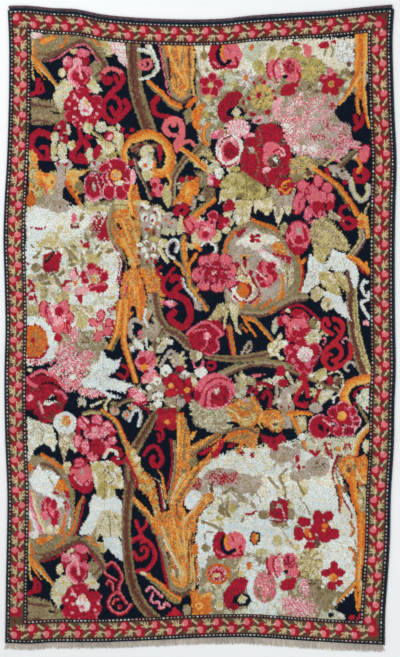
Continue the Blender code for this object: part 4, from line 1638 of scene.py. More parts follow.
def orangeColumn():
    patch("navy", "338,605 354,590 369,600 369,622 346,622 344,614 338,612", 0.8)
    line("orange amber orange", 9, "361,516 361,548 358,577 360,590", "1,0.7")
    line("olive orange", 3, "350,522 354,530 351,536")
    line("olive orange", 4, "350,548 355,553 354,560")
    line("olive", 2, "355,540 357,552 355,566")
    line("gold straw", 2.2, "362,550 360,566 359,582")
    line("orange amber olive", 5.4, "357,581 338,601", "1,0.7")
    line("straw amber", 5, "360,582 361,595 360,606")
    line("orange amber", 3, "356,590 357,602 358,610")
    ovals("scarlet", "352,617,6,5,-30")
    line("scarlet", 3, "357,620 361,614 363,606")
    line("hay", 3, "366,520 367,540 366,560")


def coralScrolls():
    line("coral crimson", 3.4, "103,570 111,563 116,566 120,572 122,579 119,585 119,592 126,603")
    line("coral crimson", 3, "104,570 106,575 116,580 / 107,584 109,581 112,584 113,591 118,594 / "
         "113,604 115,600 118,600")
    line("coral crimson", 3.4, "116,592 110,597 108,604 112,611 120,614 127,611 131,605")
    ovals("coral crimson", "120,607,4,5")
    line("crimson scarlet", 4, "136,521 139,529 142,536")
    line("crimson scarlet", 3.6, "147,520 146,526 142,530")
    line("scarlet crimson", 6, "132,541 139,538 147,541 153,548 155,556 152,564 146,570 137,571",
         "0.8,0.7")
    line("scarlet crimson", 5, "133,553 138,559 145,557 148,551 144,547 141,550", "1,0.7")
    line("scarlet", 3, "141,543 146,541")
    line("blush pink", 2.6, "147,591 151,587 162,597")
    line("blush pink", 2.8, "153,593 151,599 154,603 158,602 160,608 164,607 165,603 170,606")
    patch("scarlet crimson", "162,620 175,607 188,620", 0.5)
    ovals("navy", "175,618,9,4")


def longAcanthus():
    patch("ember amber", "176,414 183,412 190,434 190,446 217,433 222,438 198,452 190,470 204,460 "
         "211,450 212,458 200,472 182,504 190,522 178,522 170,510 168,496 176,470 174,456 178,444 "
         "177,430", 0.8)
    patch("ember", "168,510 186,516 204,494 212,492 215,498 200,514 190,552 194,576 190,587 180,590 "
         "174,586 154,528 158,516", 0.8)
    line("gold", 2.4, "179,416 178,452")
    line("crimson", 2.4, "171,440 172,464 168,488")
    line("olive tan", 3, "174,442 175,466 168,502")
    line("olive", 2, "186,420 184,448 184,460")
    ovals("amber gold", "193,435,4,10,30")
    line("gold amber", 2, "190,450 200,444 210,437")
    line("olive umber", 4, "192,455 218,436")
    ovals("umber olive", "193,462,10,9,-20 184,472,6,6")
    line("crimson", 4, "201,454 206,451 210,449")
    line("umber", 1.4, "212,450 211,460 206,466")
    line("gold hay", 4, "184,475 174,494 172,503", "1,0.5")
    line("gold", 2, "190,477 182,487 175,498 / 206,494 206,504")
    line("olive umber", 2, "198,470 178,502")
    line("gold hay", 2.4, "203,496 196,508 188,516 184,524")
    line("umber black", 1.6, "214,500 199,516 197,526")
    line("umber", 1.6, "177,500 177,512 180,520")


def acanthusFoot():
    again(stripedFoot, -1, 494, "pink crimson")
    again(slantLeaf, -1, 493)
    line("crimson", 2, "151,528 157,538 168,584")
    line("tan olive", 4, "157,532 166,560 171,583")
    line("gold hay", 2.6, "162,527 173,555 183,572 181,580")
    line("gold", 2, "172,516 183,553 / 183,516 184,541 186,550 / 190,530 186,550 186,562")
    line("hay", 3, "165,540 179,568 179,575 175,576 173,570")
    ovals("umber olive", "169,556,4,6 170,563,4,5 177,573,4,9")
    line("olive tan", 4, "173,586 180,590 189,588 193,582")
    line("umber", 3.4, "174,592 182,594 191,590")
    line("gold straw", 2.6, "198,552 193,560 195,581 193,589")
    ovals("orange", "195,549,6,12,10")
    line("orange", 2.6, "196,560 197,570 196,582")
    line("black umber", 1.6, "193,532 191,544 192,556")
    line("orange amber olive", 6, "142,573 160,584 168,592 179,599", "0.7,1", 0, 6, 0.25)
    ovals("hay", "144,574,6,3,20")


def orangeShoulder():
    patch("flame straw", "124,440 141,462 141,468 154,480 162,520 155,520 150,498 138,488 132,466 "
         "126,456")
    line("crimson", 3, "126,458 136,478 137,486")
    ovals("gold hay", "137,459,7,6,30 134,452,5,6")
    line("gold", 2, "146,482 150,486 152,492 150,500")
    line("orange gold", 3, "158,470 162,477 166,498", "0.5,1")
    line("hay tan", 2.6, "154,478 160,484 165,508", "0.5,1")
    line("crimson wine", 2.4, "159,484 161,496 163,512")
    line("amber orange olive", 9, "125,497 134,500 150,518 156,530", "0.6,1", 0, 4, 0.3)
    line("gold", 1.8, "136,500 140,508 148,512 152,522")
    patch("navy", "133,490 142,494 152,506 154,514 136,498", 0.6)


def goldBloomBelow():
    patch("orange amber orange", "190,592 197,589 200,596 208,592 213,594 210,602 213,612 205,617 "
         "193,615")
    ovals("olive tan", "187,610,8,12")
    ovals("orange", "199,606,13,12")
    ovals("gold", "199,606,9,8")
    dots("orange", 4, "199,606")
    line("gold", 2.4, "202,597 208,594 212,595")
    ovals("cream straw", "219,606,9,9 213,597,4,4")


def lowerRoof():
    again(oliveRoof, -3, 500, "pink crimson")
    again(cornerLeaf, -3, 500)
    again(leftBranch, -3, 499)


def lowerTwinRoses():
    again(twinRoses, -2, 496)


def lowerStem():
    line("olive umber brown umber olive", 9, "129,486 126,530 129,566 132,582 138,598 147,611 158,621",
         "1,1.25")


# The motifs in the order in which they lie over each other, the grounds first.
garden = (
    meadowGround, paleGround, lowerGround, paleFeather, oliveRoof, cornerLeaf, leftBranch, twinRoses,
    crimsonS, darkStem, paleScroll, stripedFoot, slantLeaf, topScrolls, leftScrolls, sprigsByTheScrolls,
    amberCorner, stemsAndFlames, orangeRing, garnetPair, goldLeaves, darkPoppy, openRose, smallBlooms,
    speckledBloom, blackHeartedPoppy, lilac, rightAcanthus, blushRose, crimsonRose, goldFan, rosette,
    paleDroop, droopFingers, coralRose, littleBloom, crimsonHanging, tornRose, mauveBloom, fivePetals,
    crimsonEdge, orangeClaw, orangeFronds, whiteSprigs, greyBlooms, greyScrolls, crimsonScrolls,
    heartStem, roseBuds, globe, globeFlowers, zinnia, hangingBud, bigLeaf, rightStem, whiteDroop,
    goldFlower, tanGround, zinniaInWhite, lilacByTheFeather, leftPinkRose, pinkStar, whiteFeather,
    crimsonPeony, smallHeartBranch, hangingLeaves, branches, orangeStems, raggedPinkBloom, crimsonStars,
    spiralRose, roundRose, whitePetals, whiteHeartedRose, crimsonCurls, greyTrumpet, scarletScroll,
    sunrise, smallMauveBlooms, daisyAndDroop, largePinkRose, roseBudInStraw, secondGlobe, paleAcanthus,
    crimsonByTheStem, crimsonKnot, darkStalk, berryGround, goldCurls, orangeArms, groundByTheCurl,
    crimsonPair, greatOrangeCurl, crimsonRoseBelow, twoStars, eyeBloom, ringBloom, veiledRose,
    secondCarnation, bottomPoppy, secondLilac, lastStar, orangeColumn, coralScrolls, longAcanthus,
    acanthusFoot, orangeShoulder, goldBloomBelow, lowerRoof, lowerTwinRoses, lowerStem,
)

# Leaves that fill the navy between the flowers: their wools and where they grow.
thicket = {"leaves": 8, "size": 10}
thickets = {
    "olive straw lime tan":
        "222,138,34,60 262,192,60,26 180,182,30,50 84,180,50,50 110,160,30,40",
    "cream straw sage tan":
        "216,162,34,26 200,232,34,30 170,356,50,24 166,392,60,36 316,330,30,24 262,382,50,16 316,386,40,18",
    "tan mauve olive sage":
        "346,156,30,30 196,200,28,30 152,300,20,50 150,338,40,40 112,400,60,30 224,410,40,16",
}


def field():
    for motif in garden:
        motif()
    for colours, places in thickets.items():
        foliage(colours, thicket["leaves"], places, thicket["size"])


def dashKnots(count, seed):
    # Pale knots two by two between dark ones, a few of them pinkish or grey.
    own = random.Random(seed)
    run = []
    while len(run) < count:
        pale = own.choice(("ivory", "mauve", "sage", "blush", "mauve", "ivory", "tan"))
        run += [pale] * own.choice((1, 2, 2)) + ["black"] * 2
    return [shades.index(name) for name in run[:count]]


def frameLine(shade, count, seed):
    # A plain line is of one wool, a dashed one has its own draw.
    return shades.index(shade) if shade else dashKnots(count, seed)


def frames():
    # Dark lines and dashed lines that run round the rug on both sides of the vine.
    isField = np.array(columnKinds) == "field", np.array(rowKinds) == "field"
    chart[~np.outer(isField[1], isField[0])] = shades.index("brown")
    middle = knotColumns // 2, knotRows // 2
    for inner in (False, True):
        for kind, shade in (("navy", "teal"), ("line", "black"), ("dash", None)):
            lines = []
            for kinds, half in ((columnKinds, middle[0]), (rowKinds, middle[1])):
                vine = [n for n, found in enumerate(kinds) if found == "vine"]
                near = [n for n in vine if n < half]
                far = [n for n in vine if n >= half]
                found = [n for n, name in enumerate(kinds) if name == kind]
                if inner:
                    lines.append([n for n in found if near[-1] < n < far[0]])
                else:
                    lines.append([n for n in found if n < near[0] or n > far[-1]])
            if not lines[0]:
                continue
            columns, rows = lines
            c0, c1, r0, r1 = min(columns), max(columns), min(rows), max(rows)
            for n in rows:
                chart[n, c0 : c1 + 1] = frameLine(shade, c1 - c0 + 1, n)
            for n in columns:
                chart[r0 : r1 + 1, n] = frameLine(shade, r1 - r0 + 1, n + 1)


def vineRose(part, a, b, ax, bx, away, edge):
    # One rose with the forked sprig before it and a single leaf on the other side.
    def lineTo(da, db, ea, eb, half=0.62):
        putLine(part, a, b, ax + da, bx + away * db, ax + ea, bx + away * eb, half, "leaf")
    node = (-7.2, -1.9)
    for da, db in ((-13.6, 2.6), (-10.2, 3.0), (-6.8, 2.4), (-12.6, -1.4)):
        lineTo(node[0], node[1], da, db)
    lineTo(*node, -3.0, -0.8)
    putLine(part, a, b, ax - 8.6, edge + away * 1.2, ax - 3.0, edge + away * 5.0, 0.85, "leaf")
    r = np.hypot(a - ax, (b - bx) * 0.9)
    turn = np.arctan2(b - bx, a - ax)
    ragged = 0.55 * np.cos(5 * turn + ax) + 0.3 * np.sin(11 * turn + 2 * ax)
    toBand = away * (b - bx)
    petals = np.hypot(a - ax - 1.4, 0.88 * (toBand + 1.5)) + ragged < 5.4
    petals &= (a - ax > -2.2) | (toBand < -2.0)
    part[petals] = shades.index("crimson")
    part[r < 2.9] = shades.index("rosebud")
    part[(r < 2.9) & (a < ax - 1.6) & (away * (b - bx) < 0)] = shades.index("blush")


def putLine(part, a, b, ax, ay, bx, by, half, colour):
    dx, dy = bx - ax, by - ay
    t = np.clip(((a - ax) * dx + (b - ay) * dy) / (dx * dx + dy * dy), 0, 1)
    part[np.hypot(a - ax - t * dx, b - ay - t * dy) < half] = shades.index(colour)


def vine():
    # Roses on alternate sides of the stripe, growing rightwards and downwards.
    kindC, kindR = np.array(columnKinds), np.array(rowKinds)
    vineC, vineR = np.where(kindC == "vine")[0], np.where(kindR == "vine")[0]
    midC, midR = knotColumns // 2, knotRows // 2
    leftC, rightC = vineC[vineC < midC], vineC[vineC > midC]
    topR, bottomR = vineR[vineR < midR], vineR[vineR > midR]
    across, down = (leftC[0], rightC[-1]), (topR[-1] + 1, bottomR[0] - 1)
    # Each band of the vine, how far it runs, which way, and its roses' spacing and first place.
    for band, (start, end), way, pitch, lead in (
        (topR, across, "row", 15.9, 3.4), (bottomR, across, "row", 15.9, 4.4),
        (leftC, down, "column", 14.6, 10.5), (rightC, down, "column", 14.6, 4.5),
    ):
        length, wide = end - start + 1, len(band)
        mirrored = band[0] > (midR if way == "row" else midC)
        part = np.full((wide, length), shades.index("brown"))
        mix = (blotch if way == "row" else blotch.T)[band[0] : band[0] + wide, start : start + length]
        lower = np.linspace(0, 1, length) if way == "column" else np.full(length, float(mirrored))
        part[mix + 0.5 * lower > 0.85] = shades.index("bark")
        a, b = np.meshgrid(np.arange(length) + 0.5, np.arange(wide) + 0.5)
        for k in range(int((length - lead) // pitch) + 1):
            outer = (k % 2 == 0) != mirrored
            bx = wide * (0.28 if outer else 0.72)
            away = -1 if outer else 1
            vineRose(part, a, b, lead + k * pitch, bx, away, wide - 0.5 if outer else 0.5)
        if way == "row":
            chart[band[0] : band[-1] + 1, start : end + 1] = part
        else:
            chart[start : end + 1, band[0] : band[-1] + 1] = part.T


# The two dye lots nearest to each wool, and the luck below or above which a knot has them.
kin = {
    "crimson": "scarlet wine", "pink": "coral blush", "blush": "pink ivory", "straw": "lime cream",
    "olive": "tan umber", "tan": "olive mauve", "orange": "amber rust", "amber": "orange gold",
    "gold": "amber straw", "ivory": "cream sky", "cream": "straw ivory", "sage": "cream tan",
    "umber": "olive brown", "navy": "teal black", "mauve": "tan sage", "wine": "crimson umber",
}
lots = {"below": 0.08, "above": 0.93, "seed": 21}


def liven():
    # Stray knots of a nearby dye lot, as hand-dyed wool has.
    luck = np.random.default_rng(lots["seed"]).random((knotRows, knotColumns))
    before = chart.copy()
    for name, near in kin.items():
        first, second = near.split()
        here = before == shades.index(name)
        chart[here & (luck < lots["below"])] = shades.index(first)
        chart[here & (luck > lots["above"])] = shades.index(second)


field()
liven()
frames()
vine()
print("chart knotted", knotRows, "rows of", knotColumns)


def linear(name):
    srgb = np.array(wool[name]) / 255
    return np.where(srgb <= 0.04045, srgb / 12.92, ((srgb + 0.055) / 1.055) ** 2.4)


# The middle of the photo lies over the origin.
centre = {"x": 200, "y": 328.5}


def place(x, y):
    # Photo pixels to metres.
    return (x - centre["x"]) * pixel, (centre["y"] - y) * pixel


def add(tree, kind, inputs=(), **settings):
    # A node with its settings, and its inputs set to values or joined to other nodes.
    made = tree.nodes.new(kind)
    for name, value in settings.items():
        setattr(made, name, value)
    for socket, value in dict(inputs).items():
        if isinstance(value, bpy.types.NodeSocket):
            tree.links.new(value, made.inputs[socket])
        else:
            made.inputs[socket].default_value = value
    return made


def newGroup(name, kind, inputs, outputs):
    tree = bpy.data.node_groups.new(name, kind)
    for label, socketKind, value in inputs:
        socket = tree.interface.new_socket(label, in_out="INPUT", socket_type=socketKind)
        if value is not None:
            socket.default_value = value
    for label, socketKind in outputs:
        tree.interface.new_socket(label, in_out="OUTPUT", socket_type=socketKind)
    return tree, tree.nodes.new("NodeGroupInput"), tree.nodes.new("NodeGroupOutput")


number, colour, vector, whole = "NodeSocketFloat", "NodeSocketColor", "NodeSocketVector", "NodeSocketInt"


def math2(tree, operation, a, b):
    return add(tree, "ShaderNodeMath", {0: a, 1: b}, operation=operation).outputs[0]


def times(tree, a, b):
    return math2(tree, "MULTIPLY", a, b)


def plus(tree, a, b):
    return math2(tree, "ADD", a, b)


def vectorMath(tree, operation, a, b):
    return add(tree, "ShaderNodeVectorMath", {0: a, 1: b}, operation=operation).outputs[0]


def scaled(tree, source, factor):
    return add(tree, "ShaderNodeVectorMath", {0: source, "Scale": factor}, operation="SCALE").outputs[0]


def ranged(tree, value, low, high, newLow, newHigh):
    inputs = {"Value": value, "From Min": low, "From Max": high, "To Min": newLow, "To Max": newHigh}
    return add(tree, "ShaderNodeMapRange", inputs).outputs[0]


def woolToneGroup():
    # Uneven dye: slow clouds, bands of another dye lot across the rug, and a fine mottle.
    tree, start, end = newGroup(
        "woolTone", "ShaderNodeTree",
        (("Colour", colour, None), ("Place", vector, None),
         ("Clouds", number, 0.12), ("Bands", number, 0.1), ("Mottle", number, 0.2)),
        (("Colour", colour),),
    )
    spot = start.outputs["Place"]
    cloudy, banded, mottled = 5.0, (1.2, 26.0, 1.0), 420.0
    slow = add(tree, "ShaderNodeTexNoise", {"Vector": spot, "Scale": cloudy, "Detail": 3.0})
    flat = add(tree, "ShaderNodeMapping", {"Vector": spot, "Scale": banded})
    band = add(tree, "ShaderNodeTexNoise", {"Vector": flat.outputs[0], "Scale": 1.0, "Detail": 2.0})
    fine = add(tree, "ShaderNodeTexNoise", {"Vector": spot, "Scale": mottled, "Detail": 2.0})
    total = 1.0
    quiet, loud = 0.3, 0.7
    for source, strength in ((slow, "Clouds"), (band, "Bands"), (fine, "Mottle")):
        swing = ranged(tree, source.outputs[0], quiet, loud, -1.0, 1.0)
        total = plus(tree, times(tree, swing, start.outputs[strength]), total)
    tree.links.new(scaled(tree, start.outputs["Colour"], total), end.inputs["Colour"])
    return tree


def knotTuftsGroup():
    # Each knot is a round tuft in its cell of the loom's grid, combed towards the fringe.
    tree, start, end = newGroup(
        "knotTufts", "ShaderNodeTree",
        (("Loom", vector, None), ("Place", vector, None)),
        (("Height", number), ("ToneAndShade", number)),
    )
    loom = start.outputs["Loom"]
    wobble = add(tree, "ShaderNodeTexNoise", {"Vector": loom, "Scale": 0.9, "Detail": 1.0})
    shifted = scaled(tree, vectorMath(tree, "SUBTRACT", wobble.outputs["Color"], (0.5, 0.5, 0.5)), 0.5)
    shifted = vectorMath(tree, "ADD", loom, shifted)
    cell = add(tree, "ShaderNodeVectorMath", {0: shifted}, operation="FRACTION")
    cell = add(tree, "ShaderNodeVectorMath", {0: cell.outputs[0], 1: (0.5, 0.5, 0.0)}, operation="DISTANCE")
    crown, seam = 0.15, 0.72
    dome = ranged(tree, cell.outputs["Value"], crown, seam, 1.0, 0.0)
    whole = add(tree, "ShaderNodeVectorMath", {0: loom}, operation="FLOOR")
    each = add(tree, "ShaderNodeTexWhiteNoise", {"Vector": whole.outputs[0]}, noise_dimensions="2D")
    fine = (1900.0, 700.0, 1200.0)
    combed = add(tree, "ShaderNodeMapping", {"Vector": start.outputs["Place"], "Scale": fine})
    fibre = add(tree, "ShaderNodeTexNoise", {"Vector": combed.outputs[0], "Scale": 1.0, "Detail": 2.0})
    height = plus(tree, times(tree, fibre.outputs[0], 0.5), times(tree, dome, 0.6))
    height = plus(tree, times(tree, each.outputs["Value"], 0.35), height)
    tree.links.new(height, end.inputs["Height"])
    # Painted shade: each tuft's tone is lighter at its crown and darker at the seams between knots, and half
    # of it is a random tone for each knot.
    toneAndShade = plus(tree, times(tree, dome, 0.5), times(tree, each.outputs["Value"], 0.5))
    tree.links.new(toneAndShade, end.inputs["ToneAndShade"])
    return tree


def yarnPlyGroup():
    # Plies and fibres of spun yarn, seen on wraps, stitches and warp ends.
    tree, start, end = newGroup(
        "yarnPly", "ShaderNodeTree",
        (("Place", vector, None), ("Stretch", vector, (900.0, 900.0, 900.0))),
        (("Height", number), ("ToneAndShade", number)),
    )
    drawn = vectorMath(tree, "MULTIPLY", start.outputs["Place"], start.outputs["Stretch"])
    fibre = add(tree, "ShaderNodeTexNoise", {"Vector": drawn, "Scale": 1.0, "Detail": 3.0, "Roughness": 0.6})
    tree.links.new(fibre.outputs[0], end.inputs["Height"])
    # Painted shade: the yarn's tone follows its fibre relief, lighter where the fibres stand higher, and
    # half of it is a random tone for each turn.
    each = add(tree, "ShaderNodeAttribute", attribute_name="yarnTone")
    blend = plus(tree, times(tree, fibre.outputs[0], 0.5), times(tree, each.outputs["Fac"], 0.5))
    tree.links.new(blend, end.inputs["ToneAndShade"])
    return tree


woolTone = woolToneGroup()
knotTufts = knotTuftsGroup()
yarnPly = yarnPlyGroup()


def useGroup(tree, group, inputs):
    return add(tree, "ShaderNodeGroup", inputs, node_tree=group)


def dye(tree, shader, colour, spot, clouds, bands, mottle):
    inputs = {"Colour": colour, "Place": spot, "Clouds": clouds, "Bands": bands, "Mottle": mottle}
    dyed = useGroup(tree, woolTone, inputs)
    tree.links.new(dyed.outputs["Colour"], shader.inputs["Base Color"])


def woolShader(name, roughness, sheen):
    made = bpy.data.materials.new(name)
    made.use_nodes = True
    tree = made.node_tree
    shader = tree.nodes["Principled BSDF"]
    shader.inputs["Roughness"].default_value = roughness
    shader.inputs["Specular IOR Level"].default_value = 0.12
    shader.inputs["Sheen Weight"].default_value = sheen
    shader.inputs["Sheen Roughness"].default_value = 0.5
    spot = add(tree, "ShaderNodeTexCoord")
    return made, tree, shader, spot.outputs["Object"]


def relief(tree, shader, height, strength, deep):
    bump = add(tree, "ShaderNodeBump", {"Height": height, "Strength": strength, "Distance": deep})
    tree.links.new(bump.outputs[0], shader.inputs["Normal"])


# darkest and brightest bound the tufts' painted shade mixed with their random tone.
pileLook = {
    "roughness": 0.95, "sheen": 0.02, "tuftDepth": 0.0016, "tuftStrength": 0.6,
    "clouds": 0.08, "bands": 0.07, "mottle": 0.14, "darkest": 0.70, "brightest": 1.20,
}
backLook = {
    "roughness": 0.95, "sheen": 0.05, "tuftDepth": 0.0012, "tuftStrength": 0.6,
    "clouds": 0.1, "bands": 0.05, "mottle": 0.15, "darkest": 0.70, "brightest": 1.20,
}


def pileMaterial(name, look):
    made, tree, shader, spot = woolShader(name, look["roughness"], look["sheen"])
    knots = add(tree, "ShaderNodeAttribute", attribute_name="knotColour")
    loom = add(tree, "ShaderNodeUVMap", uv_map="loom")
    tufts = useGroup(tree, knotTufts, {"Loom": loom.outputs[0], "Place": spot})
    # The knot colours are scaled by the tufts' painted shade and random tone, between the darkest and
    # brightest factors.
    toneAndShade = ranged(tree, tufts.outputs["ToneAndShade"], 0.0, 1.0, look["darkest"], look["brightest"])
    lit = scaled(tree, knots.outputs["Color"], toneAndShade)
    dye(tree, shader, lit, spot, look["clouds"], look["bands"], look["mottle"])
    relief(tree, shader, tufts.outputs["Height"], look["tuftStrength"], look["tuftDepth"])
    return made


yarnLook = {"clouds": 0.2, "bands": 0.0, "mottle": 0.2, "plyDepth": 0.0006, "plyStrength": 0.6}


def yarnMaterial(name, tint, roughness, sheen, stretch, swing):
    made, tree, shader, spot = woolShader(name, roughness, sheen)
    ply = useGroup(tree, yarnPly, {"Place": spot, "Stretch": stretch})
    # The tint is scaled by the ply's painted shade and random tone, up or down by the swing.
    toneAndShade = ranged(tree, ply.outputs["ToneAndShade"], 0.15, 0.85, 1.0 - swing, 1.0 + swing)
    base = add(tree, "ShaderNodeRGB")
    base.outputs[0].default_value = (*tint, 1.0)
    lit = scaled(tree, base.outputs[0], toneAndShade)
    dye(tree, shader, lit, spot, yarnLook["clouds"], yarnLook["bands"], yarnLook["mottle"])
    relief(tree, shader, ply.outputs["Height"], yarnLook["plyStrength"], yarnLook["plyDepth"])
    return made


pileWool = pileMaterial("pileWool", pileLook)
groundWeave = pileMaterial("groundWeave", backLook)
navyWrap = yarnMaterial("navyWrap", (0.030, 0.034, 0.050), 0.9, 0.15, (900, 500, 900), 0.45)
plumWrap = yarnMaterial("plumWrap", (0.118, 0.066, 0.084), 0.9, 0.2, (700, 900, 900), 0.5)
warpYarn = yarnMaterial("warpYarn", (0.56, 0.50, 0.43), 0.95, 0.1, (1500, 500, 1500), 0.4)
print("materials ready")


def linkPiece(name, mesh, material=None, smooth=True):
    made = bpy.data.objects.new(name, mesh)
    bpy.context.scene.collection.objects.link(made)
    if material:
        mesh.materials.append(material)
    if smooth:
        mesh.shade_smooth()
    return made


def knotSheet(name, x, y, high, foot, shadeRows, loomStart):
    # A closed sheet with one face for each knot on top, a skirt, and a coarse underside,
    # whose plain faces are so many knots long and wide.
    plain = 12
    rows, columns = x.shape
    index = np.arange(rows * columns).reshape(rows, columns)
    below = {}
    feet = []

    def under(r, c):
        if (r, c) not in below:
            below[r, c] = rows * columns + len(feet)
            feet.append((x[r, c], y[r, c], foot))
        return below[r, c]

    a, b, c, d = index[:-1, :-1], index[1:, :-1], index[1:, 1:], index[:-1, 1:]
    faces = np.stack((a, b, c, d), axis=-1).reshape(-1, 4).tolist()
    knots = len(faces)
    ring = [(0, c) for c in range(columns)] + [(r, columns - 1) for r in range(1, rows)]
    ring += [(rows - 1, c) for c in range(columns - 2, -1, -1)] + [(r, 0) for r in range(rows - 2, 0, -1)]
    owners = []
    for here, there in zip(ring, ring[1:] + ring[:1]):
        faces.append([int(index[here]), int(index[there]), under(*there), under(*here)])
        owners.append((min(here[0], there[0], rows - 2), min(here[1], there[1], columns - 2)))
    rowCuts = sorted({*range(0, rows - 1, plain), rows - 1})
    columnCuts = sorted({*range(0, columns - 1, plain), columns - 1})
    for r0, r1 in zip(rowCuts[:-1], rowCuts[1:]):
        for c0, c1 in zip(columnCuts[:-1], columnCuts[1:]):
            face = [(r0, c) for c in (range(c0, c1 + 1) if r0 == 0 else (c0, c1))]
            face += [(r, c1) for r in (range(r0 + 1, r1) if c1 == columns - 1 else ())]
            face += [(r1, c) for c in (range(c1, c0 - 1, -1) if r1 == rows - 1 else (c1, c0))]
            face += [(r, c0) for r in (range(r1 - 1, r0, -1) if c0 == 0 else ())]
            faces.append([under(r, c) for r, c in face])
    points = np.stack((x.ravel(), y.ravel(), high.ravel()), axis=1)
    mesh = bpy.data.meshes.new(name)
    mesh.from_pydata(np.concatenate((points, np.array(feet))).tolist(), [], faces)
    mesh.update()
    paintKnots(mesh, shadeRows, knots, owners, loomStart)
    return mesh


def paintKnots(mesh, shadeRows, knots, owners, loomStart):
    # Each knot keeps its own wool, blended a little with its neighbours at its corners.
    rows, columns = shadeRows.shape
    table = np.array([linear(name) for name in shades])
    own = table[shadeRows]
    padded = np.pad(own, ((1, 1), (1, 1), (0, 0)), mode="edge")
    corner = (padded[:-1, :-1] + padded[1:, :-1] + padded[:-1, 1:] + padded[1:, 1:]) / 4
    mixed = np.empty((rows, columns, 4, 4))
    mixed[..., 3] = 1.0
    near = ((0, 0), (1, 0), (1, 1), (0, 1))
    for n, (dr, dc) in enumerate(near):
        mixed[:, :, n, :3] = 0.7 * own + 0.3 * corner[dr : dr + rows, dc : dc + columns]
    loops = len(mesh.loops)
    colours = np.full((loops, 4), 0.25)
    colours[:, 3] = 1.0
    colours[: knots * 4] = mixed.reshape(-1, 4)
    for n, (r, c) in enumerate(owners):
        colours[knots * 4 + 4 * n : knots * 4 + 4 * n + 4, :3] = own[r, c]
    attribute = mesh.color_attributes.new(name="knotColour", type="FLOAT_COLOR", domain="CORNER")
    attribute.data.foreach_set("color", colours.astype(np.float32).ravel())
    loom = np.zeros((loops, 2))
    r, c = np.indices((rows, columns))
    for n, (dr, dc) in enumerate(near):
        loom[n : knots * 4 : 4, 0] = (c + dc).ravel() + loomStart
        loom[n : knots * 4 : 4, 1] = (r + dr).ravel()
    layer = mesh.uv_layers.new(name="loom")
    layer.data.foreach_set("uv", loom.astype(np.float32).ravel())


def applied(name, holder, tree, values):
    # Runs a Geometry Nodes tree on a holder and keeps its result as a plain mesh piece.
    modifier = holder.modifiers.new(name, "NODES")
    modifier.node_group = tree
    for item in tree.interface.items_tree:
        if item.item_type == "SOCKET" and item.in_out == "INPUT" and item.name in values:
            modifier[item.identifier] = values[item.name]
    holder.update_tag()
    bpy.context.view_layer.update()
    ready = holder.evaluated_get(bpy.context.evaluated_depsgraph_get())
    mesh = bpy.data.meshes.new_from_object(ready)
    mesh.name = name
    holder.modifiers.remove(modifier)
    bpy.data.objects.remove(holder)
    return linkPiece(name, mesh)


geometry, finish = "NodeSocketGeometry", "NodeSocketMaterial"


def drawn(tree, low, high, seed, **more):
    # A random value between two others, with its own seed.
    inputs = {2: low, 3: high, "Seed": seed, **more}
    return add(tree, "FunctionNodeRandomValue", inputs, data_type="FLOAT").outputs[1]


def named(tree, name):
    return add(tree, "GeometryNodeInputNamedAttribute", {"Name": name}, data_type="FLOAT").outputs[0]


def noted(tree, source, name, value):
    # Keeps a value with each copy under a name.
    inputs = {"Geometry": source, "Name": name, "Value": value}
    made = add(tree, "GeometryNodeStoreNamedAttribute", inputs, data_type="FLOAT", domain="INSTANCE")
    return made.outputs[0]


def copied(tree, points, item, rotation, scale):
    inputs = {"Points": points, "Instance": item, "Rotation": rotation, "Scale": scale}
    return add(tree, "GeometryNodeInstanceOnPoints", inputs).outputs[0]


def vectorOf(tree, x, y, z):
    return add(tree, "ShaderNodeCombineXYZ", {"X": x, "Y": y, "Z": z}).outputs[0]


def swept(tree, line, outline):
    # A solid whose outline follows a line, closed at both ends.
    inputs = {"Curve": line, "Profile Curve": outline, "Fill Caps": True}
    return add(tree, "GeometryNodeCurveToMesh", inputs).outputs[0]


def dress(tree, source, material, end):
    made = add(tree, "GeometryNodeSetMaterial", {"Geometry": source, "Material": material})
    tree.links.new(made.outputs[0], end.inputs[0])


pile = {
    "strips": 4, "top": 0.0082, "mid": 0.005, "foot": 0.0022, "edgeDrop": 0.0014, "darkDrop": 0.0004,
    "swell": 0.0005, "ragged": 0.0007, "seed": 3.0,
    # how fine the swell and the tufts' raggedness are, in waves to the metre
    "swells": 6.0, "tufts": 190.0,
}


def pileLieTree():
    # The pile lies unevenly: a slow swell over the floor and a finer raggedness of the tufts.
    tree, start, end = newGroup(
        "pileLie", "GeometryNodeTree",
        (("Geometry", geometry, None), ("Swell", number, 0.0006), ("Ragged", number, 0.0008),
         ("Seed", number, 3.0), ("Material", finish, None)),
        (("Geometry", geometry),),
    )
    given = start.outputs
    spot = add(tree, "GeometryNodeInputPosition").outputs[0]
    parts = add(tree, "ShaderNodeSeparateXYZ", {0: spot})
    inputs = {0: parts.outputs["Z"], 1: pile["mid"]}
    onTop = add(tree, "FunctionNodeCompare", inputs, operation="GREATER_THAN")
    lift = 0.0
    for scale, strength in ((pile["swells"], "Swell"), (pile["tufts"], "Ragged")):
        inputs = {"Vector": spot, "W": given["Seed"], "Scale": scale, "Detail": 2.0}
        noise = add(tree, "ShaderNodeTexNoise", inputs, noise_dimensions="4D")
        swing = ranged(tree, noise.outputs[0], 0.25, 0.75, -1.0, 0.6)
        lift = plus(tree, times(tree, swing, given[strength]), lift)
    offset = vectorOf(tree, 0.0, 0.0, lift)
    inputs = {"Geometry": given["Geometry"], "Selection": onTop.outputs[0], "Offset": offset}
    moved = add(tree, "GeometryNodeSetPosition", inputs)
    dress(tree, moved.outputs[0], given["Material"], end)
    return tree


pileLie = pileLieTree()


def choices(sizes, material):
    # A piece's dictionary as the inputs of its tree.
    return {**{label.capitalize(): value for label, value in sizes.items()}, "Material": material}


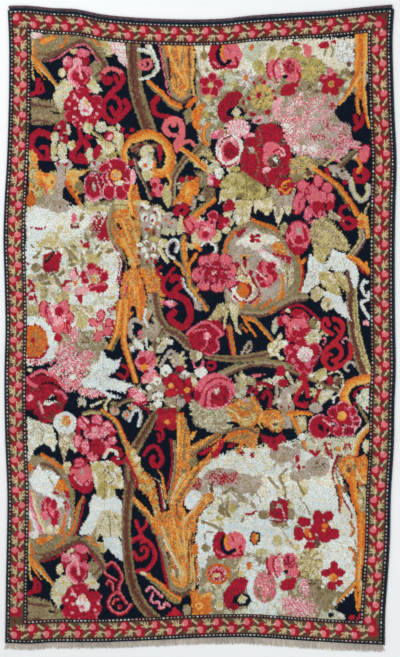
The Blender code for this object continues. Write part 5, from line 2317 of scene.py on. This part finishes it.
def pileHeights():
    dark = np.isin(chart, [shades.index(name) for name in ("navy", "black", "umber")]).astype(float)
    padded = np.pad(dark, 1, mode="edge")
    low = (padded[:-1, :-1] + padded[1:, :-1] + padded[:-1, 1:] + padded[1:, 1:]) / 4
    high = pile["top"] - pile["darkDrop"] * low
    for edge in (np.s_[1, :], np.s_[-1, :], np.s_[:, 1], np.s_[:, -2]):
        high[edge] -= pile["edgeDrop"]
    return high


def buildPile():
    high = pileHeights()
    x, y = place(lineX, lineY)
    first, last = 1, x.shape[1] - 2
    cuts = np.linspace(first, last, pile["strips"] + 1).astype(int)
    strips = []
    for n, (c0, c1) in enumerate(zip(cuts[:-1], cuts[1:])):
        part = (slice(1, None), slice(c0, c1 + 1))
        name = f"pile_{n + 1}"
        mesh = knotSheet(name, x[part], y[part], high[part], pile["foot"], chart[1:, c0:c1], int(c0))
        holder = linkPiece(f"pileHolder{n}", mesh)
        strips.append(applied(name, holder, pileLie, choices(pile, pileWool)))
    return strips


strips = buildPile()
print("pile laid", sum(len(piece.data.polygons) for piece in strips), "faces")

ground = {"thick": 0.0024, "step": 2}


def buildGround():
    # The woven ground. Its underside shows the pattern as flat bars of knots.
    x, y = place(lineX, lineY)
    rows = np.unique(np.append(np.arange(1, x.shape[0], ground["step"]), x.shape[0] - 1))
    columns = np.unique(np.append(np.arange(1, x.shape[1] - 1, ground["step"]), x.shape[1] - 2))
    gx, gy = x[np.ix_(rows, columns)], y[np.ix_(rows, columns)]
    flat = np.zeros_like(gx)
    shown = chart[np.ix_(rows[:-1], columns[:-1])]
    mesh = knotSheet("woven_ground", gx, gy, flat, -ground["thick"], shown, 1)
    for vertex in mesh.vertices:
        vertex.co.z = -vertex.co.z
    mesh.flip_normals()
    return linkPiece("woven_ground", mesh, groundWeave)


wovenGround = buildGround()
print("ground woven", len(wovenGround.data.polygons), "faces")


def path(name, points, **extra):
    mesh = bpy.data.meshes.new(name)
    mesh.from_pydata([tuple(point) for point in points], [(n, n + 1) for n in range(len(points) - 1)], [])
    for label, values in extra.items():
        attribute = mesh.attributes.new(label, "FLOAT", "POINT")
        attribute.data.foreach_set("value", np.array(values, np.float32))
    made = bpy.data.objects.new(name, mesh)
    bpy.context.scene.collection.objects.link(made)
    return made


def yarnWrapTree():
    # Turns of yarn round a core that follows a path.
    tree, start, end = newGroup(
        "yarnWrap", "GeometryNodeTree",
        (("Geometry", geometry, None), ("Spacing", number, 0.003), ("Width", number, 0.0068),
         ("Height", number, 0.0066), ("Yarn", number, 0.001), ("Slant", number, 0.3),
         ("Uneven", number, 0.1), ("Seed", whole, 1), ("Material", finish, None)),
        (("Geometry", geometry),),
    )
    given = start.outputs
    line = add(tree, "GeometryNodeMeshToCurve", {0: given["Geometry"]})
    line = add(tree, "GeometryNodeSetCurveNormal", {"Curve": line.outputs[0]}, mode="Z_UP")
    inputs = {"Curve": line.outputs[0], "Length": given["Spacing"]}
    turns = add(tree, "GeometryNodeCurveToPoints", inputs, mode="LENGTH")
    halfWide = math2(tree, "SUBTRACT", times(tree, given["Width"], 0.5), given["Yarn"])
    halfHigh = math2(tree, "SUBTRACT", times(tree, given["Height"], 0.5), given["Yarn"])
    oval = vectorOf(tree, halfWide, halfHigh, 1.0)
    ring = add(tree, "GeometryNodeCurvePrimitiveCircle", {"Resolution": 10, "Radius": 1.0})
    ring = add(tree, "GeometryNodeTransform", {"Geometry": ring.outputs[0], "Scale": oval})
    yarn = add(tree, "GeometryNodeCurvePrimitiveCircle", {"Resolution": 4, "Radius": given["Yarn"]})
    turn = add(tree, "GeometryNodeCurveToMesh", {"Curve": ring.outputs[0], "Profile Curve": yarn.outputs[0]})
    less, more = math2(tree, "SUBTRACT", 1.0, given["Uneven"]), plus(tree, 1.0, given["Uneven"])
    size = drawn(tree, less, 1.0, given["Seed"])
    thick = drawn(tree, less, more, given["Seed"], ID=add(tree, "GeometryNodeInputIndex").outputs[0])
    leastSlant, mostSlant = 0.6, 1.4
    slant = times(tree, given["Slant"], drawn(tree, leastSlant, mostSlant, 9))
    tilt = add(tree, "FunctionNodeEulerToRotation", {0: vectorOf(tree, slant, slant, 0.0)})
    inputs = {0: turns.outputs["Rotation"], 1: tilt.outputs[0]}
    turned = add(tree, "FunctionNodeRotateRotation", inputs, rotation_space="LOCAL")
    scale = vectorOf(tree, size, size, thick)
    placed = copied(tree, turns.outputs["Points"], turn.outputs[0], turned.outputs[0], scale)
    toned = noted(tree, placed, "yarnTone", drawn(tree, 0.0, 1.0, 4))
    real = add(tree, "GeometryNodeRealizeInstances", {0: toned})
    core = add(tree, "GeometryNodeCurvePrimitiveCircle", {"Resolution": 8, "Radius": 1.0})
    core = add(tree, "GeometryNodeTransform", {"Geometry": core.outputs[0], "Scale": oval})
    joined = add(tree, "GeometryNodeJoinGeometry")
    tree.links.new(swept(tree, line.outputs[0], core.outputs[0]), joined.inputs[0])
    tree.links.new(real.outputs[0], joined.inputs[0])
    dress(tree, joined.outputs[0], given["Material"], end)
    return tree


def warpEndsTree():
    # Loose warp ends along the bottom edge: each a thin bent strand that tapers to its tip.
    rootLift, layerLift, bends, tipShare = 0.0012, 0.0016, 55.0, 0.45
    tree, start, end = newGroup(
        "warpEnds", "GeometryNodeTree",
        (("Geometry", geometry, None), ("Count", whole, 900), ("Thick", number, 0.0006),
         ("Shortest", number, 0.6), ("Spread", number, 0.25), ("Wave", number, 0.006),
         ("Seed", whole, 1), ("Material", finish, None)),
        (("Geometry", geometry),),
    )
    given = start.outputs
    line = add(tree, "GeometryNodeMeshToCurve", {0: given["Geometry"]})
    inputs = {"Curve": line.outputs[0], "Count": given["Count"]}
    roots = add(tree, "GeometryNodeCurveToPoints", inputs, mode="COUNT")
    strand = add(tree, "GeometryNodeCurvePrimitiveLine", {"Start": (0, 0, 0), "End": (0, -1, 0)})
    strand = add(tree, "GeometryNodeResampleCurve", {"Curve": strand.outputs[0], "Count": 8})
    long = times(tree, named(tree, "reach"), drawn(tree, given["Shortest"], 1.0, given["Seed"]))
    aside = plus(tree, times(tree, drawn(tree, -1.0, 1.0, 5), given["Spread"]), named(tree, "lean"))
    turned, scale = vectorOf(tree, 0.0, 0.0, aside), vectorOf(tree, 1.0, long, 1.0)
    placed = copied(tree, roots.outputs["Points"], strand.outputs[0], turned, scale)
    toned = noted(tree, placed, "yarnTone", drawn(tree, 0.0, 1.0, 4))
    lifted = noted(tree, toned, "layer", drawn(tree, 0.0, 1.0, 6))
    real = add(tree, "GeometryNodeRealizeInstances", {0: lifted})
    along = add(tree, "GeometryNodeSplineParameter").outputs["Factor"]
    spot = add(tree, "GeometryNodeInputPosition").outputs[0]
    layer = named(tree, "layer")
    inputs = {"Vector": spot, "W": times(tree, layer, 4.0), "Scale": bends, "Detail": 1.0}
    noise = add(tree, "ShaderNodeTexNoise", inputs, noise_dimensions="4D")
    bend = vectorMath(tree, "SUBTRACT", noise.outputs["Color"], (0.5, 0.5, 0.5))
    bend = scaled(tree, bend, times(tree, times(tree, given["Wave"], 2.0), along))
    bend = add(tree, "ShaderNodeSeparateXYZ", {0: bend})
    rest = ranged(tree, along, 0.0, 1.0, rootLift, 0.0)
    rise = plus(tree, plus(tree, rest, times(tree, layer, layerLift)), given["Thick"])
    offset = vectorOf(tree, bend.outputs[0], bend.outputs[1], rise)
    laid = add(tree, "GeometryNodeSetPosition", {"Geometry": real.outputs[0], "Offset": offset})
    taper = ranged(tree, along, 0.0, 1.0, 1.0, tipShare)
    yarn = add(tree, "GeometryNodeCurvePrimitiveCircle", {"Resolution": 4, "Radius": given["Thick"]})
    tapered = add(tree, "GeometryNodeSetCurveRadius", {"Curve": laid.outputs[0], "Radius": taper})
    dress(tree, swept(tree, tapered.outputs[0], yarn.outputs[0]), given["Material"], end)
    return tree


yarnWrap = yarnWrapTree()
warpEnds = warpEndsTree()

wrap = {
    "width": 0.0068, "height": 0.0066, "spacing": 0.0031, "yarn": 0.0013,
    "slant": 0.25, "uneven": 0.07, "seed": 2,
    # the row of knots where it starts, rows between points of its path, and how far it runs on
    "start": 3, "step": 6, "over": 0.001,
}


def wrapped(name, points, sizes, material):
    return applied(name, path(name + "Path", points), yarnWrap, choices(sizes, material))


def edgeWrap(name, side):
    # Dark yarn wrapped round the outermost warps on one side.
    column = 0 if side < 0 else -1
    x, y = place(lineX[wrap["start"] :, column], lineY[wrap["start"] :, column])
    inset = -side * wrap["width"] / 2
    points = [(px + inset, py, wrap["height"] / 2) for px, py in zip(x, y)][:: wrap["step"]]
    points.append((x[-1] + inset, y[-1] - wrap["over"], wrap["height"] / 2))
    return wrapped(name, points, wrap, navyWrap)


wrapLeft = edgeWrap("edge_wrap_left", -1)
wrapRight = edgeWrap("edge_wrap_right", 1)
print("edges wrapped", len(wrapLeft.data.polygons), "faces a side")

band = {
    "width": 0.0122, "height": 0.0072, "spacing": 0.0042, "yarn": 0.0021,
    "slant": 0.5, "uneven": 0.16, "seed": 8, "step": 3,
}


def buildBand():
    # The rolled top end, overcast with thick plum yarn in lumpy slanting turns.
    x, y = place(lineX[0, :], lineY[0, :])
    points = [(px, py - band["width"] / 2, band["height"] / 2) for px, py in zip(x, y)]
    return wrapped("rolled_end", points[1 : -1 : band["step"]], band, plumWrap)


rolledEnd = buildBand()
print("top end rolled", len(rolledEnd.data.polygons), "faces")

fringe = {
    "count": 2200, "thick": 0.00055, "shortest": 0.6, "spread": 0.16, "wave": 0.006, "seed": 1,
    "leanLeft": -0.42, "leanRight": 0.26, "leanBow": 0.6, "step": 6, "under": 0.002,
    # millimetres to the right of the rug's middle, and how long the ends are there
    "tips": ((-664, 28), (-505, 27), (-332, 26), (-158, 26), (86, 28.5),
             (174, 30), (348, 33), (521, 32), (664, 30)),
}


def buildFringe():
    x, y = place(lineX[-1, 1:-1], lineY[-1, 1:-1])
    x, y = x[:: fringe["step"]], y[:: fringe["step"]]
    share = (x - x[0]) / (x[-1] - x[0])
    lean = fringe["leanLeft"] + (fringe["leanRight"] - fringe["leanLeft"]) * share ** fringe["leanBow"]
    spots, lengths = zip(*fringe["tips"])
    reach = np.interp(x * 1000, spots, lengths) / 1000
    points = np.stack((x, y + fringe["under"], np.zeros_like(x)), axis=1)
    holder = path("fringePath", points, reach=reach, lean=lean)
    return applied("warp_fringe", holder, warpEnds, choices(fringe, warpYarn))


warpFringe = buildFringe()
print("fringe hung", len(warpFringe.data.polygons), "faces")

# Everything rides on the rug's one body and stands for its solid.
for piece in strips:
    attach(piece, "root")
    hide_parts("knotted_carpet")
for piece, node, slot in (
    (wovenGround, "knotted_carpet", "pile"),
    (wrapLeft, "selvedge_left", "navy_wrap"),
    (wrapRight, "selvedge_right", "navy_wrap"),
    (rolledEnd, "top_band", "aubergine_wrap"),
    (warpFringe, "bottom_fringe", "warp"),
):
    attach(piece, "root")
    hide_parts(node)

studio = {
    "height": 4.5, "view": 2.2338, "floor": (0.80, 0.827, 0.835), "shaded": 0.97, "half": 6.0,
    "drop": 0.0005, "sky": 0.68,
    # each lamp: where it hangs, its side and its power
    "softKey": ((-1.6, 1.9, 3.2), 2.6, 70.0),
    "softFill": ((2.0, -1.4, 3.0), 3.0, 30.0),
}


def buildStudio():
    floorMesh = bpy.data.meshes.new("floor")
    half = studio["half"]
    corners = [(x * half, y * half, -studio["drop"]) for x, y in ((-1, -1), (1, -1), (1, 1), (-1, 1))]
    floorMesh.from_pydata(corners, [], [(0, 1, 2, 3)])
    floorMaterial = bpy.data.materials.new("paleFloor")
    floorMaterial.use_nodes = True
    tree = floorMaterial.node_tree
    grain = add(tree, "ShaderNodeTexNoise", {"Scale": 9.0, "Detail": 3.0})
    shaded = [value * studio["shaded"] for value in studio["floor"]]
    inputs = {"Factor": grain.outputs[0], 6: (*shaded, 1), 7: (*studio["floor"], 1)}
    mixed = add(tree, "ShaderNodeMix", inputs, data_type="RGBA")
    tree.links.new(mixed.outputs[2], tree.nodes["Principled BSDF"].inputs["Base Color"])
    tree.nodes["Principled BSDF"].inputs["Roughness"].default_value = 0.8
    linkPiece("floor", floorMesh, floorMaterial, smooth=False)
    world = bpy.context.scene.world or bpy.data.worlds.new("studio")
    bpy.context.scene.world = world
    world.use_nodes = True
    sky = world.node_tree.nodes["Background"]
    sky.inputs[0].default_value = (1.0, 1.0, 1.0, 1.0)
    sky.inputs[1].default_value = studio["sky"]
    for name in ("softKey", "softFill"):
        spot, size, power = studio[name]
        data = bpy.data.lights.new(name, "AREA")
        data.size = size
        data.energy = power
        lamp = bpy.data.objects.new(name, data)
        lamp.location = spot
        aim = -np.array(spot)
        tip = math.acos(-aim[2] / np.linalg.norm(aim))
        lamp.rotation_euler = (tip, 0, math.atan2(aim[1], aim[0]) - math.pi / 2)
        bpy.context.scene.collection.objects.link(lamp)
    lens = bpy.data.cameras.new("overhead")
    lens.sensor_width = 36.0
    lens.lens = 36.0 * (studio["height"] - pile["top"]) / studio["view"]
    camera = bpy.data.objects.new("overhead", lens)
    camera.location = (0, 0, studio["height"])
    bpy.context.scene.collection.objects.link(camera)
    bpy.context.scene.camera = camera
    bpy.context.scene.view_settings.view_transform = "Standard"


buildStudio()
print("studio lit")
